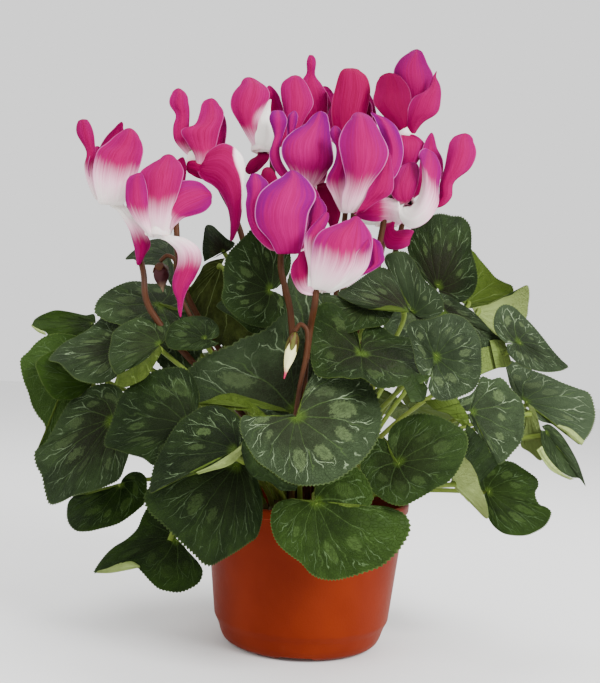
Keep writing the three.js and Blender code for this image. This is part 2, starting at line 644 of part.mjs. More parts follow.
// Blooms: where the mouth of the cup is, and the tips of the five petals anticlockwise from the
// one that leaves the mouth at the turn. behind says which space between petals the stalk uses.
const BLOOMS = {
  bloom_far_left: { ring: STALK_RING, azimuth: 172, mouth: seen(111, 202, -6), turn: -95, behind: 1,
    via: [seen(151, 311, 25)],
    petals: [
      { tip: seen(132, 131, -2), wide: 28 },
      { tip: seen(138, 264, 2), wide: 20, belly: 12 },
      { tip: seen(120, 124, -18), wide: 20 },
      { tip: seen(98, 140, -22) },
      { tip: seen(80, 120, -8), wide: 22 },
    ] },
  bloom_left: { ring: MIDDLE_RING, azimuth: -178, mouth: seen(158, 236, 24), turn: -112, behind: 1,
    via: [seen(189, 300, 6)],
    petals: [
      { tip: seen(172, 155, 30), wide: 30 },
      { tip: seen(181, 315, 34), wide: 20, belly: 18 },
      { tip: seen(211, 186, 20), wide: 24 },
      { tip: seen(176, 166, 8) },
      { tip: seen(140, 168, 14), wide: 22 },
    ] },
  bloom_left_back: { ring: STALK_RING, azimuth: 146, mouth: seen(193, 166, -2), turn: -100, behind: 1,
    via: [seen(240, 230, -6)],
    petals: [
      { tip: seen(208, 99, 4), wide: 24 },
      { tip: seen(233, 238, 10), wide: 26, belly: 22 },
      { tip: seen(218, 108, -14) },
      { tip: seen(190, 98, -18), wide: 20 },
      { tip: seen(176, 89, -4), wide: 18 },
    ] },
  bloom_top_left: { ring: MIDDLE_RING, azimuth: 112, mouth: seen(263, 152, -6), turn: -120, behind: 2,
    petals: [
      { tip: seen(245, 77, 0), wide: 30 },
      { tip: seen(281, 102, -1), wide: 18 },
      { tip: seen(302, 76, -12), wide: 26 },
      { tip: seen(272, 84, -24), wide: 20 },
      { tip: seen(240, 92, -18), wide: 20 },
    ] },
  bloom_back_middle: { ring: STALK_RING, azimuth: 94, mouth: seen(312, 136, -50), turn: -100, behind: 2,
    petals: [
      { tip: seen(312, 55, -46), wide: 20 },
      { tip: seen(326, 90, -44), wide: 22 },
      { tip: seen(326, 80, -62), wide: 22 },
      { tip: seen(308, 76, -70), wide: 22 },
      { tip: seen(296, 90, -56), wide: 20 },
    ] },
  bloom_back_right: { ring: STALK_RING, azimuth: 64, mouth: seen(352, 148, -28), turn: -90, behind: 2,
    petals: [
      { tip: seen(353, 68, -24), wide: 30 },
      { tip: seen(370, 98, -28), wide: 18 },
      { tip: seen(362, 84, -44), wide: 22 },
      { tip: seen(346, 84, -46), wide: 22 },
      { tip: seen(338, 96, -32), wide: 18 },
    ] },
  bloom_top_right: { ring: STALK_RING, azimuth: 36, mouth: seen(404, 138, -18), turn: -125, behind: 2,
    via: [seen(400, 234, -44)],
    petals: [
      { tip: seen(386, 76, -12), wide: 24 },
      { tip: seen(440, 100, -10), wide: 24 },
      { tip: seen(422, 49, -26), wide: 30 },
      { tip: seen(406, 60, -36), wide: 24 },
      { tip: seen(384, 84, -26), wide: 20 },
    ] },
  bloom_middle: { ring: MIDDLE_RING, azimuth: -110, mouth: seen(304, 190, 16), turn: -85, behind: 2,
    petals: [
      { tip: seen(318, 111, 22), wide: 30 },
      { tip: seen(332, 136, 14), wide: 18 },
      { tip: seen(310, 118, 2), wide: 20 },
      { tip: seen(290, 124, 6), wide: 18 },
      { tip: seen(273, 112, 14), wide: 20 },
    ] },
  bloom_right_middle: { ring: MIDDLE_RING, azimuth: -38, mouth: seen(356, 212, 40), turn: -98, behind: 2,
    petals: [
      { tip: seen(364, 113, 46), wide: 32 },
      { tip: seen(396, 130, 40), wide: 20 },
      { tip: seen(380, 122, 26), wide: 20 },
      { tip: seen(354, 124, 26), wide: 20 },
      { tip: seen(335, 134, 40), wide: 16 },
    ] },
  bloom_front_left: { ring: STALK_RING, azimuth: -134, mouth: seen(288, 252, 48), turn: -85, behind: 3,
    via: [seen(291, 316, 38)],
    petals: [
      { tip: seen(290, 170, 52), wide: 34 },
      { tip: seen(327, 198, 46), wide: 22 },
      { tip: seen(310, 182, 34), wide: 22 },
      { tip: seen(278, 178, 34), wide: 22 },
      { tip: seen(250, 174, 46), wide: 24 },
    ] },
  bloom_front: { ring: STALK_RING, azimuth: -88, mouth: seen(322, 291, 62), turn: -72, behind: 4,
    via: [around(-90, 45, 104), seen(304, 388, 66), seen(310, 330, 63)],
    petals: [
      { tip: seen(350, 217, 66), wide: 36 },
      { tip: seen(384, 256, 60), wide: 22 },
      { tip: seen(358, 236, 48), wide: 22 },
      { tip: seen(322, 232, 48), wide: 22 },
      { tip: seen(291, 258, 60), wide: 22 },
    ] },
  bloom_right: { ring: STALK_RING, azimuth: -14, mouth: seen(405, 207, 12), turn: -62, behind: 3,
    petals: [
      { tip: seen(470, 134, 14), wide: 28, belly: 14 },
      { tip: seen(433, 132, 8), wide: 20 },
      { tip: seen(410, 131, 4), wide: 22 },
      { tip: seen(388, 164, 2), wide: 18 },
      { tip: seen(357, 204, 14), wide: 18, belly: 8 },
    ] },
  bloom_right_back: { ring: STALK_RING, azimuth: 12, mouth: seen(386, 226, -14), turn: -90, behind: 2,
    petals: [
      { tip: seen(402, 249, -6), wide: 22, belly: 8 },
      { tip: seen(406, 174, -18), wide: 20 },
      { tip: seen(398, 162, -28), wide: 22 },
      { tip: seen(374, 162, -28), wide: 22 },
      { tip: seen(364, 174, -18), wide: 20 },
    ] },
};

function makePetals(bloom) {
  const cup = standing(CUP_PROFILE, PETAL_COUNT, bloom.mouth, bloom.axis);
  const petals = bloom.petals.map((row, i) => {
    const out = heading(bloom.turn + PETAL_TURN * i);
    return thicken(petalPatch(bloom, { ...PETAL, ...row }, out), PETAL_THICKNESS);
  });
  return union([cup, ...petals]);
}

function addBloom(name, row) {
  const bloom = { ...BLOOM, ...row };
  const root = rootIn(bloom.ring, bloom.azimuth, STALK_RADIUS, STALK_SIDES);
  const side = heading(bloom.turn + PETAL_TURN * (bloom.behind + 0.5));
  const curve = stalkCurve(root, bloom.via, bloom.mouth, side, bloom.axis, BLOOM_HOOK);
  const calyxBase = bloom.mouth.clone().addScaledVector(bloom.axis, CUP_HEIGHT + GAP);
  const calyx = standing(CALYX_PROFILE, PETAL_COUNT, calyxBase, bloom.axis);
  addNode(`${name}_stalk`, "stalk", stalkTube(curve, STALK_RADIUS).add(calyx));
  addNode(`${name}_petals`, "petal", makePetals(bloom).subtract(stalkTube(curve, STALK_RADIUS + 2 * GAP)));
}

// Buds: where the bud begins, where its point is, and the side on which the stalk comes up.
const BUDS = {
  bud_front: { ring: STALK_RING, azimuth: -108, base: seen(292, 336, 70), tip: seen(284, 378, 72), radius: 3.4,
    side: vector(1, 0, 0), via: [around(-102, 48, 106), seen(299, 392, 68)] },
  bud_left: { ring: STALK_RING, azimuth: -160, base: seen(164, 268, 14), tip: seen(162, 290, 16), radius: 3.6,
    side: vector(1, 0, 0), via: [seen(183, 302, 20)] },
};

const BUD_SIDES = 6;
const BUD_CALYX_HEIGHT = 2.6;

function addBud(name, bud) {
  const root = rootIn(bud.ring, bud.azimuth, BUD_STALK_RADIUS, STALK_SIDES);
  const axis = bud.tip.clone().sub(bud.base);
  const length = axis.length();
  axis.divideScalar(length);
  const curve = stalkCurve(root, bud.via, bud.base, bud.side, UP, BUD_HOOK);
  const r = bud.radius;
  const calyxProfile = [[0, 0], [r, 0], [0.5 * r, BUD_CALYX_HEIGHT], [0, BUD_CALYX_HEIGHT]];
  const calyxBase = bud.base.clone().addScaledVector(axis, -GAP);
  const calyx = standing(calyxProfile, PETAL_COUNT, calyxBase, axis.clone().negate());
  const profile = [[0, 0], [0.9 * r, 0], [r, 0.3 * length], [0.6 * r, 0.75 * length], [0, length]];
  addNode(`${name}_stalk`, "stalk", stalkTube(curve, BUD_STALK_RADIUS).add(calyx));
  addNode(name, "bud", standing(profile, BUD_SIDES, bud.base, axis));
}

for (const [name, shoot] of Object.entries(SHOOTS)) addShoot(name, shoot);
for (const [name, bloom] of Object.entries(BLOOMS)) addBloom(name, bloom);
for (const [name, bud] of Object.entries(BUDS)) addBud(name, bud);

const tuber = solidOf(latheGeometry(tuberProfile(0), SOIL_SIDES)).subtract(union(sockets));
addNode("tuber", "tuber", tuber);
addNode("soil", "soil", makeSoil());
addNode("pot", "pot", makePot());

export default plant;
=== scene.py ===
# A cyclamen in flower in a moulded plastic pot: its fine forms, its finish, the light and the view.
import math

import bpy
import numpy as np
from mathutils import Matrix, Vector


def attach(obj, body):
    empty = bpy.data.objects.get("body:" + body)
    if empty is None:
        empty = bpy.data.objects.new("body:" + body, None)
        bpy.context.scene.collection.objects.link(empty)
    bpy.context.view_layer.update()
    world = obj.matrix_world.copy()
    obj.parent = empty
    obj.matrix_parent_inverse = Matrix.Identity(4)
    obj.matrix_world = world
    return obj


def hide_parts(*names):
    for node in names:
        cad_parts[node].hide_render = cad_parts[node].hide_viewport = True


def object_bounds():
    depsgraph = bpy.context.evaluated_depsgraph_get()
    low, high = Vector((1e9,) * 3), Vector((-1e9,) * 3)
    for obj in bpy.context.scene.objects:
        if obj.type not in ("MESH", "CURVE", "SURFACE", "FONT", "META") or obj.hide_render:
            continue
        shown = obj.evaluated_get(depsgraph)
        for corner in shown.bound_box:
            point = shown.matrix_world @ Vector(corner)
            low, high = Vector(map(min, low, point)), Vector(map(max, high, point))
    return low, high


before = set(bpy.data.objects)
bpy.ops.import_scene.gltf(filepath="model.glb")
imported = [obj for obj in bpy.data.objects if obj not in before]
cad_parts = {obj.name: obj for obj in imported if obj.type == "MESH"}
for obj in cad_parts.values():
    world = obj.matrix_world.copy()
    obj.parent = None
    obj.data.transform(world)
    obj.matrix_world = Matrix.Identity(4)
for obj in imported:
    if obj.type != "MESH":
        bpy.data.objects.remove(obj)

CAD_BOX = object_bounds()

# Sizes are in millimetres up to the making of a mesh, which is in metres.
MM = 0.001

# The pot
POT_RIM_RADIUS = 60
POT_MOUTH_RADIUS = 56.4
POT_HEIGHT = 82
POT_TOP_RADIUS = 58
POT_LIP_DROP = 5
POT_LIP_DRAFT = 0.4
POT_STEP_TOP = 15
POT_STEP_RADIUS = 50.4
POT_INNER_STEP_TOP = 12.5
POT_INNER_STEP_RADIUS = 45.4
POT_FOOT = [(38, 0), (42, 0.8), (44.8, 2.6), (46.4, 5.5), (47.4, 8.5), (48.5, 11.5)]
POT_ROUNDING = 1.1
POT_SIDES = 160
CHANNEL_COUNT = 3
CHANNEL_WIDTH = 22
CHANNEL_HEIGHT = 2.6
CHANNEL_INNER_END = 27
CHANNEL_AZIMUTH = -93
DRAIN_HOLE_RADIUS = 3.6
DRAIN_HOLE_REACH = 33
DRAIN_HOLE_ENDS = (-5, 0, 9)
DRAIN_HOLE_SIDES = 32
FLOOR_THICKNESS = 1.6
FLOOR_TOP = CHANNEL_HEIGHT + FLOOR_THICKNESS
FLOOR_RADIUS = 41
LIP_FOOT = POT_HEIGHT - POT_LIP_DROP

# What grows in it
SOIL_TOP = 70
SOIL_BASE = FLOOR_TOP + 0.3
SOIL_BASE_RADIUS = 40.4
SOIL_STEP_RADIUS = 44.6
SOIL_RADIUS = 53.4
SOIL_RINGS = 44
SOIL_SIDES = 120
SOIL_SEED = 11
SOIL_LUMPS = (26, 9, 4, 2.2)
SOIL_HEAVE = 0.9
SOIL_SINK = 0.6
CRUMB_COUNT = 420
CRUMB_SHAPE = [(0, -1), (0.75, -0.65), (1, 0), (0.7, 0.7), (0, 1)]
CRUMB_SIDES = 7
CRUMB_RADII = (0.5, 1.7)
CRUMB_STRETCH = (0.7, 1.3)
CRUMB_UNEVENNESS = 0.2
CRUMB_REACH = (34, 52)
CRUMB_DROP = 0.3
TUBER_RADIUS = 35
TUBER_HALF_HEIGHT = 16
TUBER_CENTRE = 62
TUBER_BANDS = 36
TUBER_SIDES = 90
TUBER_SEED = 5
TUBER_LUMPS = (16, 7, 3)
TUBER_HEAVE = 0.5
TUBER_SINK = 0.6
ROOT_DEPTH = 9
OUTER_RING = 27
INNER_RING = 19.8
STALK_RING = 12.6
MIDDLE_RING = 5.6
SHOOT_RADIUS = 2.8
SHOOT_HEIGHT = 8
PETIOLE_RADIUS = 1.4
PETIOLE_SPREAD = 1.5
PETIOLE_ROOT = 2
STALK_RADIUS = 1.9
BUD_STALK_RADIUS = 1.3
STEM_SIDES = 10
STEM_STEPS = 26

# The share of its radius that a stem has at its foot, and how much it loses on its way up.
PETIOLE_TAPER = (1.08, 0.2)
STALK_TAPER = (1.05, 0.22)
BUD_STALK_TAPER = (1.05, 0.15)

# How red a stem is at its foot and at its top, from 0, which is green, to 1.
STUB_RED = (0.9, 0.6)
STALK_RED = (0.95, 0.8)
BUD_STALK_RED = (0.9, 0.9)

# The reference view: a picture of 600 by 683 pixels, with the eye in front of the pot.
# A place in it is a column, a row, and how many millimetres nearer than the pot's axis it is.
VIEW_COLUMN = 300
VIEW_ROW = 341.5
VIEW_ROWS = 683
VIEW_FOCAL = 882
VIEW_EYE = np.array([-8.0, -520.0, 154.0])
VIEW_PITCH = math.radians(2.1)
VIEW_ROLL = math.radians(2.7)
SENSOR_WIDTH = 36
WORLD_STRENGTH = 1.3
STAGE_REACH = 6.0

# Lights: where each stands, how wide it is and how strong, in metres and watts.
LIGHT_TARGET = (0, 0, 0.17)
LIGHTS = {
    "key": ((1.0, -1.05, 1.0), 0.7, 42),
    "fill": ((-1.2, -0.8, 0.8), 0.9, 6),
    "top": ((0.1, 0.3, 1.5), 0.8, 12),
}

# An edge that turns by more than so many degrees is shown sharp.
PLAIN_CREASE = 40
POT_CREASE = 32
BLADE_CREASE = 50
PETAL_CREASE = 60


def vector(x, y, z):
    return np.array([x, y, z], float)


UP = vector(0, 0, 1)


def unit(v):
    return v / np.linalg.norm(v)


def smooth(x):
    x = np.clip(x, 0, 1)
    return x * x * (3 - 2 * x)


def seen(column, row, near):
    """The point at a column and a row of the reference view, so far nearer than the pot's axis."""
    right = (column - VIEW_COLUMN) / VIEW_FOCAL
    up = (VIEW_ROW - row) / VIEW_FOCAL
    x = right * math.cos(VIEW_ROLL) - up * math.sin(VIEW_ROLL)
    rise = right * math.sin(VIEW_ROLL) + up * math.cos(VIEW_ROLL)
    y = math.cos(VIEW_PITCH) - rise * math.sin(VIEW_PITCH)
    z = math.sin(VIEW_PITCH) + rise * math.cos(VIEW_PITCH)
    return VIEW_EYE + vector(x, y, z) * (-near - VIEW_EYE[1]) / y


def heading(azimuth):
    turn = math.radians(azimuth)
    return vector(math.cos(turn), math.sin(turn), 0)


def around(azimuth, reach, height):
    """The point in a direction from the pot's axis, at a distance from it and a height."""
    return heading(azimuth) * reach + UP * height


# The camera and the lights
def added(name, data):
    thing = bpy.data.objects.new(name, data)
    bpy.context.scene.collection.objects.link(thing)
    return thing


def turned(*axes):
    """The turn that brings X, Y and Z to three axes."""
    return Matrix(np.column_stack(axes).tolist())


def make_camera():
    camera = added("camera", bpy.data.cameras.new("camera"))
    camera.data.sensor_width = SENSOR_WIDTH
    camera.data.lens = SENSOR_WIDTH * VIEW_FOCAL / VIEW_ROWS
    camera.data.clip_start = 0.01
    ahead = vector(0, math.cos(VIEW_PITCH), math.sin(VIEW_PITCH))
    level = vector(1, 0, 0)
    above = np.cross(level, ahead)
    right = level * math.cos(VIEW_ROLL) + above * math.sin(VIEW_ROLL)
    up = above * math.cos(VIEW_ROLL) - level * math.sin(VIEW_ROLL)
    camera.matrix_world = Matrix.Translation(VIEW_EYE * MM) @ turned(right, up, -ahead).to_4x4()
    bpy.context.scene.camera = camera


def make_light(name, place, size, power):
    data = bpy.data.lights.new(name, "AREA")
    data.shape = "DISK"
    data.size = size
    data.energy = power
    light = added(name, data)
    light.location = place
    aim = unit(vector(*LIGHT_TARGET) - vector(*place))
    side = unit(np.cross(aim, UP))
    light.rotation_euler = turned(side, np.cross(side, aim), -aim).to_euler()


def make_stage():
    world = bpy.data.worlds.new("studio")
    world.use_nodes = True
    background = world.node_tree.nodes["Background"]
    background.inputs["Color"].default_value = (1, 1, 1, 1)
    background.inputs["Strength"].default_value = WORLD_STRENGTH
    bpy.context.scene.world = world
    mesh = bpy.data.meshes.new("floor")
    corners = [(STAGE_REACH * x, STAGE_REACH * y, 0) for x, y in ((-1, -1), (1, -1), (1, 1), (-1, 1))]
    mesh.from_pydata(corners, [], [(0, 1, 2, 3)])
    paint = Shader("floor")
    paint.set(base=(0.86, 0.86, 0.855), roughness=0.8)
    mesh.materials.append(paint.material)
    floor = added("floor", mesh)


# Materials are written as sums: arithmetic on a Wire adds the nodes that work it out.
class Wire:
    def __init__(self, shader, socket):
        self.shader = shader
        self.socket = socket

    def __add__(self, other):
        return self.shader.math("ADD", self, other)

    def __sub__(self, other):
        return self.shader.math("SUBTRACT", self, other)

    def __rsub__(self, other):
        return self.shader.math("SUBTRACT", other, self)

    def __mul__(self, other):
        return self.shader.math("MULTIPLY", self, other)

    def __truediv__(self, other):
        return self.shader.math("DIVIDE", self, other)

    def __abs__(self):
        return self.shader.math("ABSOLUTE", self)

    __radd__ = __add__
    __rmul__ = __mul__


class Shader:
    SOCKETS = {
        "base": "Base Color", "roughness": "Roughness", "specular": "Specular IOR Level",
        "under_skin": "Subsurface Weight", "under_skin_depth": "Subsurface Scale", "normal": "Normal",
    }

    def __init__(self, name):
        self.material = bpy.data.materials.new(name)
        self.material.use_nodes = True
        self.tree = self.material.node_tree
        self.surface = self.tree.nodes["Principled BSDF"]

    def feed(self, socket, value):
        if isinstance(value, Wire):
            self.tree.links.new(value.socket, socket)
        elif socket.type == "RGBA":
            socket.default_value = (*value, 1)
        else:
            socket.default_value = value

    def node(self, kind, output, inputs=(), **settings):
        """Adds a node, and gives the wire from one of its outputs."""
        node = self.tree.nodes.new(kind)
        for name, value in settings.items():
            setattr(node, name, value)
        for name, value in dict(inputs).items():
            self.feed(node.inputs[name], value)
        return Wire(self, node.outputs[output])

    def set(self, **values):
        for name, value in values.items():
            self.feed(self.surface.inputs[self.SOCKETS[name]], value)

    def math(self, operation, *values):
        return self.node("ShaderNodeMath", "Value", enumerate(values), operation=operation)

    def split(self, wire):
        first = self.node("ShaderNodeSeparateXYZ", "X", {"Vector": wire})
        return [Wire(self, socket) for socket in first.socket.node.outputs]

    def join(self, x, y, z):
        return self.node("ShaderNodeCombineXYZ", "Vector", {"X": x, "Y": y, "Z": z})

    def attribute(self, name):
        """The three numbers of a mesh's attribute."""
        return self.split(self.node("ShaderNodeAttribute", "Vector", attribute_name=name))

    def place(self):
        return self.node("ShaderNodeTexCoord", "Object")

    def step(self, value, low, high):
        """0 below low and 1 above high, with a smooth change between them."""
        inputs = {"Value": value, "From Min": low, "From Max": high}
        return self.node("ShaderNodeMapRange", "Result", inputs, interpolation_type="SMOOTHSTEP")

    def noise(self, where, scale, detail=2.0, rough=0.5):
        inputs = {"Vector": where, "Scale": scale, "Detail": detail, "Roughness": rough}
        return self.node("ShaderNodeTexNoise", 0, inputs)

    def cells(self, where, scale, feature="F1"):
        inputs = {"Vector": where, "Scale": scale}
        return self.node("ShaderNodeTexVoronoi", "Distance", inputs, feature=feature)

    def chance(self, x, y):
        """A number from 0 to 1 that depends on two others and looks random."""
        inputs = {"Vector": self.join(x, y, 0.0)}
        return self.node("ShaderNodeTexWhiteNoise", "Value", inputs, noise_dimensions="2D")

    def mix(self, share, first, second):
        """A colour that goes from the first to the second as share goes from 0 to 1."""
        return self.node("ShaderNodeMix", 2, {0: share, 6: first, 7: second}, data_type="RGBA")

    def ramp(self, value, low, high, first, second):
        """A colour that goes from the first to the second as a value goes from low to high."""
        return self.mix(self.step(value, low, high), first, second)

    def relief(self, height, depth):
        """Bumps of that height, where 1 is a depth in metres."""
        self.set(normal=self.node("ShaderNodeBump", "Normal", {"Height": height, "Distance": depth}))


# Meshes
def shell(points, faces, material=0, **attributes):
    """A closed shape of a piece: its points in millimetres, its faces, its material's number, and
    the attributes that its material reads."""
    return dict(points=points, faces=faces, material=material, attributes=attributes)


def triples(x, y, z):
    """Rows of three numbers, of which some may be the same in every row."""
    return np.stack(np.broadcast_arrays(x, y, z), -1).reshape(-1, 3)


def make_piece(name, shells, materials, node, crease=PLAIN_CREASE):
    """One object from shells, that rides on the part and stands for a node."""
    points, faces, numbers, offset = [], [], [], 0
    for part in shells:
        points.append(part["points"])
        faces.extend((np.asarray(part["faces"]) + offset).tolist())
        numbers.append(np.full(len(part["faces"]), part["material"]))
        offset += len(part["points"])
    mesh = bpy.data.meshes.new(name)
    places = np.clip(np.concatenate(points) * MM, *CAD_BOX)
    mesh.from_pydata(places.tolist(), [], faces)
    mesh.polygons.foreach_set("material_index", np.concatenate(numbers))
    for key in sorted({key for part in shells for key in part["attributes"]}):
        values = [part["attributes"].get(key, np.zeros(part["points"].shape)) for part in shells]
        layer = mesh.attributes.new(key, "FLOAT_VECTOR", "POINT")
        layer.data.foreach_set("vector", np.concatenate(values).astype(np.float32).ravel())
    mesh.shade_smooth()
    mesh.set_sharp_from_angle(angle=math.radians(crease))
    for material in materials:
        mesh.materials.append(material)
    piece = added(name, mesh)
    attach(piece, "root")
    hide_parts(node)
    return piece


def grid_faces(rows, columns, closed):
    """Triangles that fill a grid of points, row after row, and join its sides if it is closed."""
    last = columns if closed else columns - 1
    i, j = np.meshgrid(np.arange(rows - 1), np.arange(last), indexing="ij")
    a = (i * columns + j).ravel()
    b = (i * columns + (j + 1) % columns).ravel()
    c, d = b + columns, a + columns
    return np.concatenate([np.column_stack([a, b, c]), np.column_stack([a, c, d])])


def fan_faces(tip, ring):
    return np.array([[tip, ring[k], ring[(k + 1) % len(ring)]] for k in range(len(ring))])


def capped(rings, first, last):
    """A closed skin over rings of points, with one more point at each end."""
    ring = np.arange(len(rings[0]))
    count = len(rings) * len(ring)
    faces = [
        grid_faces(len(rings), len(ring), True),
        fan_faces(count, ring[::-1]),
        fan_faces(count + 1, ring + count - len(ring)),
    ]
    return np.concatenate([*rings, [first, last]]), np.concatenate(faces)


def spun(profile, sides, lobes=None):
    """A solid of revolution about Z. The profile runs from the axis to the axis, and lobes, if
    given, says how far each point moves out as a function of azimuth and of its own place."""
    turns = np.arange(sides) * 2 * math.pi / sides
    rings = []
    for number, (radius, height) in enumerate(profile[1:-1]):
        reach = radius * (np.ones(sides) if lobes is None else lobes(turns, number))
        rings.append(triples(reach * np.cos(turns), reach * np.sin(turns), height))
    return capped(rings, [0, 0, profile[0][1]], [0, 0, profile[-1][1]])


def stood(points, place, axis):
    """Turns points that stand about Z to stand at a place along an axis."""
    side = unit(np.cross(axis, vector(0.3, 1, 0.2)))
    return place + points @ np.array([side, np.cross(axis, side), axis])


def swept(path, radii, sides):
    """A closed tube along points, with a radius at each."""
    path = np.asarray(path)
    tangents = np.gradient(path, axis=0)
    tangents /= np.linalg.norm(tangents, axis=1)[:, None]
    side = unit(np.cross(tangents[0], vector(0.31, 0.87, 0.1)))
    turns = np.arange(sides) * 2 * math.pi / sides
    rings = []
    for point, tangent, radius in zip(path, tangents, radii):
        side = unit(side - tangent * (side @ tangent))
        ring = np.cos(turns)[:, None] * side + np.sin(turns)[:, None] * np.cross(tangent, side)
        rings.append(point + radius * ring)
    return capped(rings, path[0], path[-1])


def bezier(p0, p1, p2, p3, share):
    s = np.atleast_1d(share)[:, None]
    r = 1 - s
    return r**3 * p0 + 3 * r * r * s * p1 + 3 * r * s * s * p2 + s**3 * p3


def bezier_slope(p0, p1, p2, p3, share):
    s = np.atleast_1d(share)[:, None]
    r = 1 - s
    slope = 3 * (r * r * (p1 - p0) + 2 * r * s * (p2 - p1) + s * s * (p3 - p2))
    return slope / np.linalg.norm(slope, axis=1)[:, None]


def through(points, steps):
    """A smooth path through points, with so many steps from each to the next."""
    points = [2 * points[0] - points[1], *points, 2 * points[-1] - points[-2]]
    path = []
    for p0, p1, p2, p3 in zip(points, points[1:], points[2:], points[3:]):
        t0, t1, t2 = (math.sqrt(np.linalg.norm(b - a)) for a, b in ((p0, p1), (p1, p2), (p2, p3)))
        leave = ((p1 - p0) / t0 - (p2 - p0) / (t0 + t1) + (p2 - p1) / t1) * t1
        arrive = ((p2 - p1) / t1 - (p3 - p1) / (t1 + t2) + (p3 - p2) / t2) * t1
        for s in np.arange(steps) / steps:
            path.append(
                (2 * s**3 - 3 * s**2 + 1) * p1 + (s**3 - 2 * s**2 + s) * leave
                + (-2 * s**3 + 3 * s**2) * p2 + (s**3 - s**2) * arrive)
    return np.array([*path, points[-2]])


def line_shares(points):
    """How far along a line each of its points is, from 0 to 1."""
    run = np.concatenate([[0], np.cumsum(np.linalg.norm(np.diff(points, axis=0), axis=1))])
    return run / run[-1]


def point_normals(points, faces):
    a, b, c = (points[faces[:, k]] for k in range(3))
    across = np.cross(b - a, c - a)
    normals = np.zeros_like(points)
    for k in range(3):
        np.add.at(normals, faces[:, k], across)
    return normals / np.linalg.norm(normals, axis=1)[:, None]


def thickened(points, faces, rim, thickness):
    """A sheet made solid: its own points first, and as many again below them."""
    below = points - point_normals(points, faces) * np.reshape(thickness, (-1, 1))
    count = len(points)
    a, b = rim, np.roll(rim, -1)
    edge = [np.column_stack([b, a, a + count]), np.column_stack([b, a + count, b + count])]
    return np.concatenate([points, below]), np.concatenate([faces, faces[:, ::-1] + count, *edge])


def solid_sheet(points, thickness):
    """A grid of points made into a solid sheet."""
    rows, columns = points.shape[:2]
    numbers = np.arange(rows * columns).reshape(rows, columns)
    rim = np.concatenate([numbers[0], numbers[1:-1, -1], numbers[-1, ::-1], numbers[-2:0:-1, 0]])
    return thickened(points.reshape(-1, 3), grid_faces(rows, columns, False), rim, thickness)


def rounded(profile, reach, steps=4):
    """A profile with its corners rounded, from at most reach before each corner."""
    soft = [profile[0]]
    for before, corner, after in zip(profile, profile[1:], profile[2:]):
        before, corner, after = (np.array(p, float) for p in (before, corner, after))
        start = corner + (before - corner) * min(0.45, reach / np.linalg.norm(before - corner))
        end = corner + (after - corner) * min(0.45, reach / np.linalg.norm(after - corner))
        for s in np.arange(steps + 1) / steps:
            soft.append(tuple((1 - s) ** 2 * start + 2 * s * (1 - s) * corner + s * s * end))
    return [*soft, profile[-1]]


# Pot
def pot_paint():
    paint = Shader("moulded_plastic")
    place = paint.place()
    cloud = paint.noise(place, 22, 4)
    base = paint.ramp(cloud, 0.35, 0.7, (0.128, 0.0122, 0.003), (0.165, 0.0182, 0.0045))
    height = paint.split(place)[2]
    dust = paint.step(paint.noise(place, 90, 5, 0.7) - height * 4, 0.5, 0.75)
    base = paint.mix(dust * 0.18, base, (0.13, 0.03, 0.012))
    paint.set(base=base, roughness=0.36 + paint.noise(place, 300, 3) * 0.14, specular=0.04)
    paint.relief(paint.noise(place, 900, 3) + cloud * 0.5, 0.00008)
    return paint.material


def cut_with(piece, tools):
    """Cuts closed shapes out of a piece."""
    for points, faces in tools:
        mesh = bpy.data.meshes.new("cutter")
        mesh.from_pydata((points * MM).tolist(), [], faces)
        cut = piece.modifiers.new("cut", "BOOLEAN")
        cut.operation = "DIFFERENCE"
        cut.solver = "EXACT"
        cut.object = added("cutter", mesh)
    shown = bpy.context.evaluated_depsgraph_get()
    whole = bpy.data.meshes.new_from_object(piece.evaluated_get(shown))
    cutters = [cut.object for cut in piece.modifiers]
    piece.modifiers.clear()
    piece.data = whole
    for cutter in cutters:
        bpy.data.objects.remove(cutter)
    whole.shade_smooth()
    whole.set_sharp_from_angle(angle=math.radians(POT_CREASE))


def make_pot():
    profile = [
        (0, 0), *POT_FOOT, (POT_STEP_RADIUS, POT_STEP_TOP), (POT_TOP_RADIUS, LIP_FOOT),
        (POT_RIM_RADIUS - POT_LIP_DRAFT, LIP_FOOT), (POT_RIM_RADIUS, POT_HEIGHT),
        (POT_MOUTH_RADIUS, POT_HEIGHT), (POT_INNER_STEP_RADIUS, POT_INNER_STEP_TOP),
        (FLOOR_RADIUS, FLOOR_TOP), (0, FLOOR_TOP),
    ]
    wall = shell(*spun(rounded(profile, POT_ROUNDING), POT_SIDES))
    pot = make_piece("pot_wall", [wall], [pot_paint()], "pot")
    wide = CHANNEL_WIDTH / 2 + CHANNEL_HEIGHT
    narrow = CHANNEL_WIDTH / 2 - CHANNEL_HEIGHT
    low, high = -CHANNEL_HEIGHT, CHANNEL_HEIGHT
    section = [(-wide, low), (wide, low), (narrow, high), (-narrow, high)]
    walls = [(j, (j + 1) % 4, (j + 1) % 4 + 4, j + 4) for j in range(4)]
    tools = []
    for k in range(CHANNEL_COUNT):
        out = heading(CHANNEL_AZIMUTH + 360 * k / CHANNEL_COUNT)
        side = np.cross(UP, out)
        ends = [out * CHANNEL_INNER_END, out * POT_RIM_RADIUS]
        groove = np.array([end + side * across + UP * height for end in ends for across, height in section])
        tools.append((groove, [(3, 2, 1, 0), (4, 5, 6, 7), *walls]))
        path = [out * DRAIN_HOLE_REACH + UP * height for height in DRAIN_HOLE_ENDS]
        hole, faces = swept(path, [DRAIN_HOLE_RADIUS] * len(path), DRAIN_HOLE_SIDES)
        tools.append((hole, faces.tolist()))
    cut_with(pot, tools)


